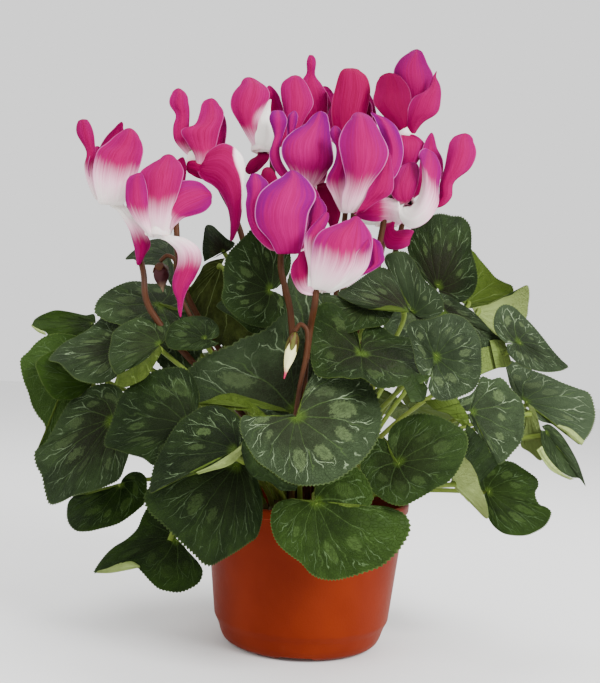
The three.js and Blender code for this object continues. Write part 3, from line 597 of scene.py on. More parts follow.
# Soil and tuber
def lumps(points, scales, rng, waves=5):
    """Smooth unevenness, mostly from -1 to 1, as a sum of waves that run in random directions."""
    total = np.zeros(len(points))
    for scale in scales:
        for _ in range(waves):
            way = unit(rng.normal(size=3)) * 2 * math.pi / scale
            total += np.sin(points @ way + rng.uniform(0, 2 * math.pi))
    return total / (waves * len(scales)) ** 0.5


def soil_paint():
    paint = Shader("potting_soil")
    place = paint.place()
    base = paint.ramp(paint.noise(place, 400, 4), 0.35, 0.7, (0.012, 0.007, 0.004), (0.07, 0.038, 0.02))
    paint.set(base=base, roughness=0.95, specular=0.25)
    paint.relief(paint.cells(place, 900) + paint.noise(place, 1500, 4), 0.0012)
    return paint.material


def make_soil():
    """Soil with an uneven top that sinks to its edge, and crumbs on it round the tuber."""
    rng = np.random.default_rng(SOIL_SEED)
    wall = [(0, SOIL_BASE), (SOIL_BASE_RADIUS, SOIL_BASE), (SOIL_STEP_RADIUS, POT_INNER_STEP_TOP)]
    top = [(SOIL_RADIUS * (1 - k / SOIL_RINGS), SOIL_TOP - (k == 0)) for k in range(SOIL_RINGS)]
    points, faces = spun([*wall, *top, (0, SOIL_TOP)], SOIL_SIDES)
    inside = smooth((SOIL_RADIUS - 0.4 - np.hypot(points[:, 0], points[:, 1])) / 2)
    raised_by = SOIL_HEAVE * lumps(points, SOIL_LUMPS, rng) - SOIL_SINK
    points[:, 2] += np.where(points[:, 2] > SOIL_TOP - 2, inside, 0) * raised_by
    shells = [shell(points, faces)]
    ball, faces = spun(CRUMB_SHAPE, CRUMB_SIDES)
    for _ in range(CRUMB_COUNT):
        radius = rng.uniform(*CRUMB_RADII)
        place = around(rng.uniform(0, 360), rng.uniform(*CRUMB_REACH), SOIL_TOP - CRUMB_DROP)
        stretch = rng.uniform(*CRUMB_STRETCH, 3)
        uneven = 1 + CRUMB_UNEVENNESS * rng.normal(size=(len(ball), 1))
        crumb = ball * radius * stretch * uneven
        shells.append(shell(stood(crumb, place, unit(rng.normal(size=3))), faces))
    make_piece("soil_bed", shells, [soil_paint()], "soil")


def tuber_paint():
    paint = Shader("corky_skin")
    place = paint.place()
    patch = paint.noise(place, 160, 5, 0.65)
    base = paint.ramp(patch, 0.35, 0.68, (0.045, 0.024, 0.013), (0.17, 0.095, 0.05))
    paint.set(base=base, roughness=0.85, specular=0.3)
    paint.relief(patch + paint.cells(place, 420) * 0.6, 0.0012)
    return paint.material


def make_tuber():
    rng = np.random.default_rng(TUBER_SEED)
    turns = (np.arange(TUBER_BANDS + 1) / TUBER_BANDS - 0.5) * math.pi
    profile = [(TUBER_RADIUS * math.cos(t), TUBER_CENTRE + TUBER_HALF_HEIGHT * math.sin(t)) for t in turns]
    points, faces = spun(profile, TUBER_SIDES)
    raised_by = TUBER_HEAVE * lumps(points, TUBER_LUMPS, rng) - TUBER_SINK
    points += point_normals(points, faces) * raised_by[:, None]
    make_piece("tuber_skin", [shell(points, faces)], [tuber_paint()], "tuber")


# Stems, which are the petioles and the flower stalks
def stem_paint():
    """Stems are green or red-brown by the second number of their attribute, along the first."""
    paint = Shader("stem")
    share, red, seed = paint.attribute("stem_place")
    place = paint.place()
    streak = paint.noise(paint.join(share * 3, red, seed), 9, 3)
    mottle = paint.noise(place, 420, 4, 0.6)
    green = paint.mix(mottle, (0.075, 0.11, 0.014), (0.16, 0.22, 0.035))
    brown = paint.mix(streak, (0.03, 0.009, 0.003), (0.075, 0.025, 0.008))
    base = paint.ramp(red + (mottle - 0.5) * 0.5, 0.2, 0.8, green, brown)
    paint.set(base=base, roughness=0.48, specular=0.14)
    paint.relief(mottle + paint.noise(place, 1800, 2) * 0.5, 0.0002)
    return paint.material


def tapered(radius, taper, count):
    foot, loss = taper
    return radius * (foot - loss * np.linspace(0, 1, count))


def stem_part(path, radii, red_low, red_high, seed):
    """A stem along a path, that is as red at its two ends as the numbers say."""
    points, faces = swept(path, radii, STEM_SIDES)
    share = np.repeat(np.linspace(0, 1, len(path)), STEM_SIDES)
    share = np.append(share, [0, 1])
    red = red_low + (red_high - red_low) * share
    return shell(points, faces, stem_place=triples(share, red, seed))


def crown_point(ring, azimuth):
    """A point on the tuber's upper side."""
    share = ring / TUBER_RADIUS
    return around(azimuth, ring, TUBER_CENTRE + TUBER_HALF_HEIGHT * math.sqrt(1 - share * share))


# Leaf blades. Their plain form is a heart, in shares of the midrib's length.
HEART_REACH = 0.74
HEART_SWING = 0.15
HEART_BREADTH = 0.76
POINT_REACH = 0.11
POINT_ANGLE = 0.3
SINUS_DEPTH = 0.42
SINUS_ANGLE = math.radians(171)
LOBE_ANGLE = math.radians(146)
TOOTH = 0.02

# How far a blade bows along the midrib, lifts at the lobes, arches across, folds at the midrib,
# waves round the margin and sinks at its main veins, and its ripples: how many, the power of the
# way to the margin that they grow with, and how high.
BOW = 0.07
LOBE_LIFT = 0.15
ARCH = 0.12
FOLD = 0.05
FOLD_ROUND = 0.1
WAVE = 0.03
VEIN_DEPTH = 0.009
RIPPLES = [(7, 2, 0.011), (15, 4, 0.006)]
VEIN_SPACING = math.radians(37)
VEIN_SWEEP = 0.2
VEIN_HALF_WIDTH = 0.11

# In millimetres: the blade at its margin, and what it gains at the joint, plain and on a vein.
MARGIN_THICKNESS = 0.32
JOINT_THICKENING = 0.2
VEIN_THICKENING = 0.35

# A petiole leaves the crown steeply, passes over the pot's rim and comes to the blade from below.
PETIOLE_LANDING = 0.07
PETIOLE_BELOW = 0.9
PETIOLE_BACK = 16
PETIOLE_LEAST_RISE = 16
PETIOLE_RISE = 0.5
PETIOLE_OUT = 0.1
PETIOLE_SWEEP = 0.4
PETIOLE_FLARE = 0.5
RIM_CLEARANCE = 12
RIM_LIFT = 1.2
STUB_SHAPE = np.array([1, 1, 1, 1, 1, 0.97, 0.9, 0.75, 0.35])

# A leaf of the reference view is raised along the line of sight, as if it slanted at least so much.
LEAST_SLANT = 0.4
OUTLINE_STEPS = 6
LEAF_SEED = 21

# A flap is green to grey by FLAP_GREY. The underside of a leaf that shows its upper side, which is
# seen only from elsewhere, has a light of its own.
FLAP_COLUMNS = 33
FLAP_ROWS = 7
FLAP_ROUND = 1.2
FLAP_THICKNESS = 0.35
FLAP_GREY = 0.3
HIDDEN_LIGHT = 0.5
PLAIN_LOOK = (0.4, 0.4, 0.5, 0.2)

# Rows of points from the petiole's joint to the margin: the share of the way, and how many steps.
BLADE_ROWS = [
    (0.08, 24), (0.16, 24), (0.24, 48), (0.32, 48), (0.4, 48), (0.47, 96), (0.54, 96), (0.61, 96),
    (0.68, 96), (0.75, 96), (0.82, 96), (0.89, 96), (0.95, 192), (1, 192),
]


def margin_reach(angle):
    """How far the margin lies from the petiole's joint, as a share of the midrib's length."""
    turn = np.abs(angle)
    point = POINT_REACH * np.exp(-((turn / POINT_ANGLE) ** 2))
    sinus = SINUS_DEPTH * smooth((turn - LOBE_ANGLE) / (SINUS_ANGLE - LOBE_ANGLE))
    return (HEART_REACH + HEART_SWING * np.cos(turn) + point) * (1 - sinus)


def strip(lower, upper):
    """Fills the band between two rows of points that run the same way."""
    faces, i, j = [], 0, 0
    while i + 1 < len(lower) or j + 1 < len(upper):
        ready = (i + 1) * (len(upper) - 1) <= (j + 1) * (len(lower) - 1)
        if i + 1 < len(lower) and ready:
            faces.append((lower[i], lower[i + 1], upper[j]))
            i += 1
        else:
            faces.append((lower[i], upper[j + 1], upper[j]))
            j += 1
    return faces


def blade_grid():
    """The angle and share of each point of a blade, which points are teeth, its faces and its rim."""
    angles, shares, teeth = [np.zeros(1)], [np.zeros(1)], [np.zeros(1)]
    rows, count = [], 1
    for share, steps in BLADE_ROWS:
        angles.append(np.linspace(-SINUS_ANGLE, SINUS_ANGLE, steps + 1))
        shares.append(np.full(steps + 1, share))
        teeth.append((np.arange(steps + 1) % 2) * (share == 1))
        rows.append(list(range(count, count + steps + 1)))
        count += steps + 1
    faces = [(0, a, b) for a, b in zip(rows[0], rows[0][1:])]
    for inner, outer in zip(rows, rows[1:]):
        faces.extend(strip(outer, inner))
    rim = [0, *(row[0] for row in rows[:-1]), *rows[-1], *(row[-1] for row in rows[-2::-1])]
    return *(np.concatenate(values) for values in (angles, shares, teeth)), np.array(faces), np.array(rim)


BLADE_ANGLE, BLADE_SHARE, BLADE_TEETH, BLADE_FACES, BLADE_RIM = blade_grid()


def leaf(joint, tip, face, look, outline, *flaps):
    """A leaf that the reference view shows."""
    places = dict(joint=seen(*joint), tip=seen(*tip), face=vector(*face))
    return dict(**places, look=look, outline=outline, flaps=flaps)


def back_leaf(joint, tip, face, wide):
    """A plain leaf at the back, at places round the pot."""
    places = dict(joint=around(*joint), tip=around(*tip), face=vector(*face))
    return dict(**places, look=PLAIN_LOOK, wide=wide, flaps=())


# Leaves by shoot: the ring and azimuth of the shoot, and for each leaf where the petiole joins, where
# the tip is, the way the upper side faces, its look, its outline and its flaps. The look is green to
# grey, dark to light, how silver the lines are, and how brown the middle is; dark to light is the
# leaf's own tone together with painted light and shade, as bright as the leaf looks where it stands.
# The outline is the margin in the reference view, from one side of the notch at the petiole to the
# other: a column and a row, and so on. A flap is a turned margin: the line it is folded along, the
# line it ends at, whether its underside shows, and how light it is, which likewise holds painted
# light and shade.
SHOOTS = {
    "leaf_shoot_front": (OUTER_RING, -98, [
        leaf((296, 417, 88), (318, 487, 108), (0.05, -0.85, 0.6), (0.85, 0.5, 1, 0.5), [
            293,414, 280,415, 266,416, 252,416, 242,416, 239,426, 242,438, 250,452, 256,461, 271,472,
            285,482, 298,486, 318,486, 332,483, 346,475, 358,466, 368,456, 377,443, 382,428, 383,415,
            379,398, 373,386, 362,376, 345,369, 325,369, 312,376, 305,390, 300,408],
            ([243,438, 250,452, 258,463, 271,472, 285,482, 298,486], [241,450, 246,467, 257,479, 270,482,
            281,490, 296,490], 0, 0.12)),
    ]),
    "leaf_shoot_front_inner": (INNER_RING, -115, [
        leaf((296, 413, 50), (196, 385, 44), (0, -0.9, 0.4), (0.8, 0.35, 0.5, 0.45), [
            300,402, 312,380, 322,350, 330,318, 332,296, 320,280, 302,270, 290,272, 286,290, 281,312,
            272,322, 262,330, 252,334, 240,338, 231,344, 216,350, 201,357, 189,367, 182,380, 186,396,
            196,403, 208,400, 222,394, 236,394, 250,401, 262,411, 272,418, 284,418],
            ([196,403, 208,400, 222,394, 236,394, 250,401, 262,411, 267,416], [198,405, 212,406, 224,408,
            236,410, 247,411, 255,417, 262,420], 1, 0.42)),
    ]),
    "leaf_shoot_front_low": (OUTER_RING, -80, [
        leaf((315, 501, 88), (352, 578, 98), (0.05, -1, 0.2), (0.2, 0.5, 0.6, 0.1), [
            309,502, 300,500, 290,499, 280,501, 273,507, 270,518, 272,533, 278,545, 290,556, 300,563,
            311,575, 322,580, 336,581, 350,578, 366,573, 382,567, 394,557, 404,545, 411,531, 410,520,
            404,513, 395,509, 384,506, 375,507, 368,511, 374,498, 370,483, 360,469, 345,462, 328,466,
            318,478, 315,491]),
    ]),
    "leaf_shoot_front_right": (OUTER_RING, -62, [
        leaf((398, 463, 82), (450, 481, 94), (0.1, -0.95, 0.35), (0.35, 0.46, 0.35, 0.4), [
            394,461, 389,450, 385,440, 376,438, 368,445, 362,457, 360,468, 364,479, 370,490, 377,496,
            390,504, 404,506, 415,501, 426,495, 437,488, 446,484, 454,477, 461,466, 466,455, 469,441,
            465,430, 456,424, 445,418, 432,414, 418,413, 405,417, 394,424, 389,431, 388,440, 392,453]),
    ]),
    "leaf_shoot_right_top": (INNER_RING, -72, [
        leaf((368, 306, 36), (347, 333, 50), (-0.05, -0.7, 0.7), (0.4, 0.42, 0.7, 0.3), [
            366,304, 350,299, 335,295, 322,296, 324,306, 331,316, 338,326, 343,333, 350,333, 362,329,
            376,327, 386,324, 392,316, 397,307, 399,302, 388,301, 374,303]),
        leaf((409, 312, 46), (338, 292, 40), (0, -0.75, 0.65), (0.8, 0.45, 0.7, 0.9), [
            410,308, 404,298, 399,286, 392,274, 384,267, 372,270, 360,278, 348,286, 337,293, 344,299,
            354,304, 364,308, 374,309, 386,306, 396,306, 404,311]),
    ]),
    "leaf_shoot_right_mid": (INNER_RING, -46, [
        leaf((436, 356, 72), (466, 320, 64), (0.1, -1, 0.3), (0.9, 0.4, 0.8, 0), [
            428,388, 432,396, 440,401, 452,400, 463,396, 473,391, 479,383, 482,370, 482,355, 481,340,
            475,328, 467,319, 457,314, 447,313, 438,316, 425,319, 413,320, 406,326, 409,337, 413,350,
            415,362, 420,374, 427,386]),
        leaf((361, 354, 62), (363, 379, 78), (0, -0.65, 0.75), (0.35, 0.26, 0.45, 0.4), [
            360,346, 357,332, 351,318, 343,310, 331,302, 318,305, 311,318, 309,335, 310,350, 311,364,
            316,375, 326,378, 340,377, 352,379, 362,378, 370,383, 377,388, 390,388, 402,386, 416,386,
            430,378, 436,364, 432,350, 418,340, 406,337, 394,335, 383,327, 372,324, 363,331, 361,345],
            ([403,384, 409,376, 412,364], [411,402, 424,400, 428,388], 0, 0.25)),
    ]),
    "leaf_shoot_right_front": (OUTER_RING, -41, [
        leaf((471, 412, 52), (504, 461, 58), (0.25, -0.9, 0.4), (0.8, 0.55, 1, 0.15), [
            468,415, 472,424, 478,434, 484,441, 488,448, 493,457, 499,465, 506,461, 513,453, 520,445,
            524,436, 525,422, 525,408, 521,398, 512,389, 506,381, 500,377, 492,379, 482,376, 478,385,
            471,394, 461,398, 453,402, 459,407, 465,410],
            ([456,394, 460,403, 465,410, 468,416, 470,424], [425,401, 436,410, 447,413, 455,419, 463,426],
            1, 0.4),
            ([467,424, 475,431, 484,441, 491,453, 498,464], [463,438, 464,455, 471,463, 477,474, 481,482],
            0, 0.15)),
        leaf((451, 481, 48), (488, 518, 46), (0.2, 0.9, 0.2), (0.5, 0.85, 0, 0), [
            456,477, 462,465, 463,456, 468,459, 473,465, 477,474, 480,486, 485,497, 488,508, 488,519,
            480,513, 470,503, 460,493, 450,483]),
    ]),
    "leaf_shoot_right_low": (OUTER_RING, -20, [
        leaf((487, 491, 24), (551, 513, 28), (0.2, -0.95, 0.2), (0.15, 0.4, 0.5, 0.2), [
            484,495, 486,502, 487,509, 488,517, 494,527, 504,534, 514,536, 526,536, 537,532, 546,526,
            551,518, 552,512, 548,508, 541,505, 537,499, 536,492, 539,486, 538,479, 531,473, 522,467,
            514,462, 504,460, 492,460, 482,462, 475,470, 475,481, 480,490]),
    ]),
    "leaf_shoot_right": (OUTER_RING, -1, [
        leaf((546, 431, 20), (586, 487, 22), (0.5, -0.8, 0.3), (0.6, 0.35, 0.7, 0), [
            541,430, 541,440, 545,453, 553,464, 563,473, 573,478, 580,479, 586,487, 583,476, 578,462,
            570,447, 562,435, 555,428, 548,424, 542,426],
            ([542,446, 547,456, 555,466, 564,474, 574,479], [537,450, 543,460, 551,470, 561,476, 570,480],
            1, 0.85)),
        leaf((529, 410, 16), (542, 461, 10), (0.5, 0.85, 0.1), (0.5, 0.7, 0, 0), [
            521,405, 523,418, 524,430, 521,441, 521,447, 530,453, 541,461, 545,453, 544,442, 541,430,
            538,418, 534,408, 529,404]),
    ]),
    "leaf_shoot_right_inner": (INNER_RING, -20, [
        leaf((413, 313, 4), (398, 251, 8), (-0.3, -0.85, 0.35), (0.9, 0.62, 1, 0), [
            416,316, 425,319, 436,317, 443,312, 444,302, 438,291, 429,284, 423,277, 418,267, 412,257,
            405,251, 395,251, 386,254, 384,260, 388,269, 394,279, 399,289, 403,300, 408,309]),
        leaf((444, 312, -2), (504, 343, -4), (0.1, -0.95, 0.35), (0.8, 0.22, 0.5, 0.6), [
            440,292, 450,296, 462,304, 474,312, 484,322, 494,333, 505,343, 492,350, 475,352, 455,353,
            430,352, 405,347, 386,333, 383,318, 394,306, 412,300, 430,295],
            ([505,342, 500,340, 492,340, 484,343, 478,349], [512,363, 506,367, 498,368, 490,371, 480,375],
            1, 0.6)),
    ]),
    "leaf_shoot_right_outer": (INNER_RING, 6, [
        leaf((519, 342, 2), (568, 367, 8), (0.2, -0.8, 0.55), (0.9, 0.45, 1, 0.2), [
            507,344, 507,351, 512,358, 520,365, 530,369, 543,372, 555,372, 564,370, 569,367, 562,360,
            553,350, 543,337, 532,324, 522,314, 513,306, 504,304, 498,308, 494,317, 494,328, 499,337,
            506,343]),
        leaf((524, 401, -6), (595, 418, 8), (0.35, -0.85, 0.4), (1, 0.86, 0.85, 0), [
            526,404, 532,411, 539,420, 551,424, 562,430, 572,438, 581,445, 586,440, 592,431, 596,418,
            595,406, 590,393, 578,388, 562,382, 547,375, 533,370, 519,363, 506,360, 507,373, 511,387,
            518,398],
            ([556,426, 565,432, 573,439, 582,445], [560,425, 569,428, 576,433, 584,441], 1, 0.85)),
    ]),
    "leaf_shoot_right_back": (OUTER_RING, 23, [
        leaf((474, 312, -30), (529, 287, -42), (0.3, 0.85, 0.4), (0.5, 0.8, 0, 0), [
            472,308, 480,306, 495,303, 505,300, 513,294, 520,288, 528,285, 530,292, 529,305, 527,318,
            515,330, 502,338, 490,330, 480,320]),
        leaf((464, 304, -50), (513, 289, -66), (0.2, 0.9, 0.3), (0.3, 0.42, 0, 0), [
            464,309, 478,307, 492,304, 503,301, 513,295, 513,286, 505,282, 496,277, 488,268, 480,259,
            472,250, 462,252, 455,265, 454,285, 458,300]),
    ]),
    "leaf_shoot_back_right": (INNER_RING, 34, [
        leaf((438, 288, -24), (444, 213, -30), (0.05, -1, 0.1), (0.4, 0.13, 0.6, 0.8), [
            440,295, 447,301, 457,303, 467,300, 474,293, 478,280, 476,264, 472,250, 472,236, 470,224,
            462,216, 452,215, 444,213, 436,213, 428,217, 416,222, 409,232, 407,246, 411,260, 418,272,
            427,282, 434,290]),
    ]),
    "leaf_shoot_left_top": (INNER_RING, -134, [
        leaf((270, 290, 28), (223, 272, 38), (-0.35, -0.9, 0.15), (0.4, 0.26, 0.8, 0.3), [
            277,288, 284,281, 290,270, 291,256, 286,246, 275,238, 264,231, 253,227, 246,234, 238,242,
            230,250, 225,259, 223,272, 223,286, 221,298, 226,308, 234,316, 245,323, 257,327, 269,328,
            279,324, 286,317, 289,308, 287,300, 280,294]),
        leaf((258, 320, 14), (217, 306, 18), (-0.1, -0.8, 0.5), (0.2, 0.4, 0.3, 0.2), [
            256,318, 250,312, 240,305, 228,300, 220,301, 216,306, 222,311, 232,317, 241,324, 250,332,
            262,335, 272,332, 276,325, 268,318]),
    ]),
    "leaf_shoot_left_front": (OUTER_RING, -117, [
        leaf((236, 450, 88), (151, 490, 96), (-0.15, -0.75, 0.65), (0.45, 0.04, 0.75, 0.1), [
            243,440, 241,428, 240,419, 232,411, 222,406, 210,405, 200,407, 190,413, 180,420, 171,431,
            163,445, 156,458, 151,473, 149,493, 162,487, 180,480, 196,472, 212,466, 226,458, 237,449],
            ([196,472, 210,466, 222,459, 232,452, 242,445], [198,474, 212,470, 224,467, 234,462, 247,447],
            1, 0.75)),
        leaf((238, 462, 76), (209, 567, 86), (-0.05, -1, 0.1), (0.3, 0.14, 0.25, 0.3), [
            230,462, 212,466, 190,474, 166,482, 149,487, 143,498, 147,511, 163,526, 180,543, 194,556,
            203,565, 210,567, 222,561, 236,553, 249,544, 257,538, 262,522, 263,505, 260,488, 255,473,
            247,463]),
    ]),
    "leaf_shoot_left_mid": (OUTER_RING, -135, [
        leaf((188, 425, 64), (105, 441, 66), (-0.15, -0.9, 0.4), (0.35, 0.04, 0.3, 0.2), [
            196,414, 199,402, 198,388, 192,374, 182,367, 168,367, 154,370, 141,378, 129,386, 119,396,
            114,410, 109,426, 104,437, 104,446, 116,450, 130,455, 143,459, 154,466, 166,458, 178,444,
            190,432]),
    ]),
    "leaf_shoot_left_low": (OUTER_RING, -152, [
        leaf((175, 538, 44), (94, 573, 46), (-0.2, -0.9, 0.35), (0.05, 0.14, 0.1, 0.2), [
            176,532, 167,522, 157,513, 148,507, 142,516, 137,528, 126,539, 113,547, 102,558, 93,573,
            108,568, 122,564, 132,564, 140,571, 149,581, 158,589, 168,592, 179,593, 191,589, 200,582,
            203,571, 198,562, 188,551, 179,542],
            ([97,571, 108,568, 120,563, 131,561, 139,565], [97,573, 110,573, 122,571, 132,569, 140,567], 1,
            0.75)),
    ]),
    "leaf_shoot_left_inner": (INNER_RING, -158, [
        leaf((160, 344, 38), (110, 358, 42), (-0.1, -0.75, 0.7), (0.5, 0.42, 0.7, 0.4), [
            162,343, 168,335, 170,325, 165,318, 152,315, 140,317, 128,321, 118,327, 112,333, 110,343,
            108,354, 110,365, 117,375, 125,371, 136,366, 146,359, 154,351, 160,346],
            ([117,375, 125,371, 136,366, 146,359, 154,351, 160,345], [114,384, 124,387, 136,383, 146,377,
            154,365, 162,351], 1, 0.3)),
        leaf((205, 338, 32), (167, 338, 36), (0, -0.8, 0.6), (0.4, 0.28, 0.5, 0.1), [
            210,340, 218,336, 219,328, 213,320, 203,316, 191,316, 180,319, 172,323, 167,331, 165,340,
            168,347, 176,350, 188,350, 200,350, 214,346, 219,343]),
    ]),
    "leaf_shoot_left": (OUTER_RING, -170, [
        leaf((112, 420, 20), (49, 503, 26), (-0.35, -0.9, 0.2), (0.6, 0.32, 0.55, 0.6), [
            124,404, 122,390, 108,383, 92,386, 77,394, 67,404, 59,417, 51,432, 44,443, 34,452, 35,465,
            41,477, 44,492, 49,505, 60,503, 72,497, 84,494, 96,491, 108,486, 119,480, 125,466, 129,452,
            126,438, 120,428]),
        leaf((121, 484, 6), (68, 519, 8), (-0.3, -0.85, 0.4), (0, 0.2, 0.5, 0), [
            117,484, 104,488, 88,494, 74,496, 68,502, 66,513, 68,524, 75,531, 87,532, 101,529, 116,525,
            128,518, 138,510, 145,503, 147,490, 146,477, 140,472, 131,472, 124,477, 122,481]),
    ]),
    "leaf_shoot_left_outer": (INNER_RING, 178, [
        leaf((92, 382, 4), (36, 366, 14), (-0.3, -0.85, 0.4), (0, 0.5, 0.4, 0), [
            92,378, 96,366, 88,355, 76,348, 62,347, 50,351, 41,356, 35,363, 37,372, 41,382, 47,392, 54,399,
            65,400, 76,398, 84,392, 91,386]),
        leaf((126, 346, 16), (49, 360, 20), (-0.1, -0.75, 0.65), (0.7, 0.45, 0.8, 0.6), [
            126,338, 122,325, 112,316, 103,316, 95,323, 88,329, 76,336, 64,342, 55,350, 48,360, 58,363,
            66,371, 75,379, 86,383, 98,384, 110,381, 120,373, 126,360, 130,350]),
    ]),
    "leaf_shoot_left_back": (OUTER_RING, 170, [
        leaf((94, 323, -24), (31, 324, -10), (-0.2, -0.8, 0.55), (0, 0.55, 0.3, 0.2), [
            96,322, 94,314, 86,315, 76,313, 66,311, 55,310, 45,313, 37,317, 30,324, 37,329, 45,332, 50,338,
            60,342, 74,339, 86,332, 95,327],
            ([30,324, 37,328, 45,332], [32,327, 38,332, 46,335], 1, 1)),
        leaf((72, 365, -10), (44, 430, -2), (0.4, -0.9, 0.3), (0.25, 0.95, 0.3, 0), [
            78,356, 84,340, 62,333, 47,335, 36,342, 28,351, 20,359, 20,368, 23,381, 28,394, 31,405, 37,416,
            44,425, 45,434, 41,443, 38,450, 52,450, 64,440, 78,424, 90,404, 90,380]),
    ]),
    "leaf_shoot_back_left": (INNER_RING, 156, [
        leaf((158, 304, -2), (95, 306, 2), (-0.1, -0.75, 0.65), (0.6, 0.4, 0.6, 0.4), [
            168,305, 192,312, 188,294, 164,284, 148,283, 140,281, 130,281, 120,284, 110,289, 102,295,
            96,302, 94,312, 104,320, 122,326, 144,336, 152,354, 168,373, 184,373, 196,362, 204,348, 196,318,
            170,309]),
        leaf((170, 256, -36), (126, 259, -28), (0, -0.75, 0.65), (0.8, 0.4, 0.5, 0), [
            176,262, 176,252, 171,244, 163,239, 153,239, 143,243, 135,249, 129,254, 125,259, 133,259,
            141,264, 152,265, 163,268, 168,280, 173,288, 178,280]),
    ]),
    "leaf_shoot_back_left_top": (INNER_RING, 132, [
        leaf((224, 251, -20), (206, 226, -24), (-0.3, -0.8, 0.5), (0.6, 0.12, 0.1, 0.9), [
            204,262, 202,250, 203,238, 206,225, 212,225, 220,232, 228,239, 235,243, 231,249, 222,254,
            212,259]),
        # This leaf is drawn out over the dark gaps below it, and its dark look there is painted shade.
        leaf((222, 264, -14), (187, 315, -9), (0.3, 0.9, 0.2), (0.3, 0.15, 0, 0), [
            225,258, 214,260, 204,265, 200,272, 194,282, 187,292, 184,304, 186,320, 196,340, 214,345,
            238,347, 254,338, 252,320, 242,306, 234,292, 230,275]),
    ]),
    "leaf_shoot_back_1": (OUTER_RING, 44, [
        back_leaf((44, 92, 136), (44, 130, 114), (0.5, 0.6, 0.6), 0.9),
        back_leaf((54, 84, 168), (54, 126, 156), (0.5, 0.5, 0.9), 0.9),
        back_leaf((58, 78, 100), (58, 104, 66), (0.5, 0.9, 0.3), 0.85),
    ]),
    "leaf_shoot_back_2": (OUTER_RING, 74, [
        back_leaf((80, 90, 138), (80, 128, 114), (0.2, 0.8, 0.7), 0.9),
        back_leaf((72, 56, 198), (68, 96, 192), (0.1, 0.4, 1), 0.9),
    ]),
    "leaf_shoot_back_3": (OUTER_RING, 104, [
        back_leaf((114, 90, 136), (114, 128, 110), (-0.3, 0.8, 0.7), 0.9),
        back_leaf((92, 84, 168), (91, 126, 158), (0, 0.6, 0.9), 0.9),
        back_leaf((97, 78, 100), (97, 104, 64), (-0.1, 1, 0.3), 0.85),
    ]),
    "leaf_shoot_back_4": (OUTER_RING, 136, [
        back_leaf((146, 92, 132), (146, 130, 108), (-0.7, 0.5, 0.6), 0.9),
        back_leaf((126, 84, 168), (126, 126, 156), (-0.5, 0.5, 0.9), 0.9),
    ]),
}


def blade_frame(leaf):
    """The directions along, across and above a blade, and its length."""
    along = leaf["tip"] - leaf["joint"]
    length = np.linalg.norm(along)
    along = along / length
    normal = unit(leaf["face"] - along * (leaf["face"] @ along))
    return along, np.cross(normal, along), normal, length


def flattened(leaf, pixels):
    """Where lines of sight through pairs of a column and a row meet a blade's plane, as shares of
    its length along and across its midrib."""
    along, across, normal, length = blade_frame(leaf)
    flat = []
    for column, row in through(np.reshape(np.array(pixels, float), (-1, 2)), OUTLINE_STEPS):
        ray = unit(seen(column, row, 0) - VIEW_EYE)
        place = VIEW_EYE + ray * ((leaf["joint"] - VIEW_EYE) @ normal / (ray @ normal)) - leaf["joint"]
        flat.append((place @ along / length, place @ across / length))
    return np.array(flat)


def trace_margin(leaf):
    """Gives a leaf its margin, with the angle that each point has on the plain heart shape, and its
    breadth beside that of the plain shape."""
    line = flattened(leaf, leaf["outline"])
    u, v = line.T
    area = 0.5 * np.sum(u * np.roll(v, -1) - v * np.roll(u, -1))
    if area < 0:
        line = line[::-1]
    tip = int(np.argmin(np.hypot(line[:, 0] - 1, line[:, 1])))
    tip = min(max(tip, 2), len(line) - 3)
    angles = np.concatenate([line_shares(line[: tip + 1]) - 1, line_shares(line[tip:])[1:]])
    leaf["margin"] = (angles * SINUS_ANGLE, line)
    leaf["breadth"] = math.sqrt(abs(area) / math.pi) / HEART_BREADTH


def margin_line(leaf, angle):
    """How far along and across a blade its margin is, by the angle on the plain heart shape."""
    if "margin" in leaf:
        angles, line = leaf["margin"]
        return np.interp(angle, angles, line[:, 0]), np.interp(angle, angles, line[:, 1])
    reach = margin_reach(angle)
    return reach * np.cos(angle), reach * np.sin(angle) * leaf["wide"]


def raised(leaf, u, v, height):
    """Places from how far they lie along, across and above a blade. A traced leaf is raised along
    the line of sight, which keeps its outline."""
    along, across, normal, length = blade_frame(leaf)
    flat = leaf["joint"] + (np.multiply.outer(u, along) + np.multiply.outer(v, across)) * length
    if "margin" not in leaf:
        return flat + np.multiply.outer(height, normal) * length
    sight = flat - VIEW_EYE
    sight /= np.linalg.norm(sight, axis=-1, keepdims=True)
    slant = sight @ normal
    slant = np.where(slant < 0, np.minimum(slant, -LEAST_SLANT), np.maximum(slant, LEAST_SLANT))
    return flat + sight * (height / slant)[..., None] * length


def vein_crease(angle, share):
    """1 on a main vein, falling off to 0 beside it and towards its ends."""
    cell = angle / (1 - VEIN_SWEEP * share) / VEIN_SPACING
    beside = (cell - np.round(cell)) / VEIN_HALF_WIDTH
    return np.exp(-(beside**2)) * (1 - share**3) * np.minimum(share * 4, 1)


def blade_points(leaf, angle, share, teeth=None):
    """Places on a blade's upper face, with its teeth, ripples and veins where teeth is given."""
    edge_u, edge_v = margin_line(leaf, angle)
    margin = np.hypot(edge_u, edge_v)
    reach = margin * share
    if teeth is not None:
        reach = reach * (1 - TOOTH * teeth)
    flat = reach / np.maximum(margin, 1e-6)
    broad = leaf.get("breadth", 1)
    u, v, reach = edge_u * flat / broad, edge_v * flat / broad, reach / broad
    ahead, behind = np.maximum(u, 0), np.minimum(u, 0)
    height = (
        4 * BOW * (ahead * (1 - ahead) + behind * np.exp(4 * behind))
        + LOBE_LIFT * behind * behind
        - ARCH * v * v
        + FOLD * (np.hypot(v, FOLD_ROUND) - FOLD_ROUND)
        + WAVE * reach * reach * np.sin(3 * angle)
    )
    if teeth is not None:
        for (count, power, size), phase in zip(RIPPLES, leaf["phases"]):
            height += size * share**power * np.sin(count * angle + phase)
        height -= VEIN_DEPTH * vein_crease(angle, share)
    return raised(leaf, u * broad, v * broad, height * broad)


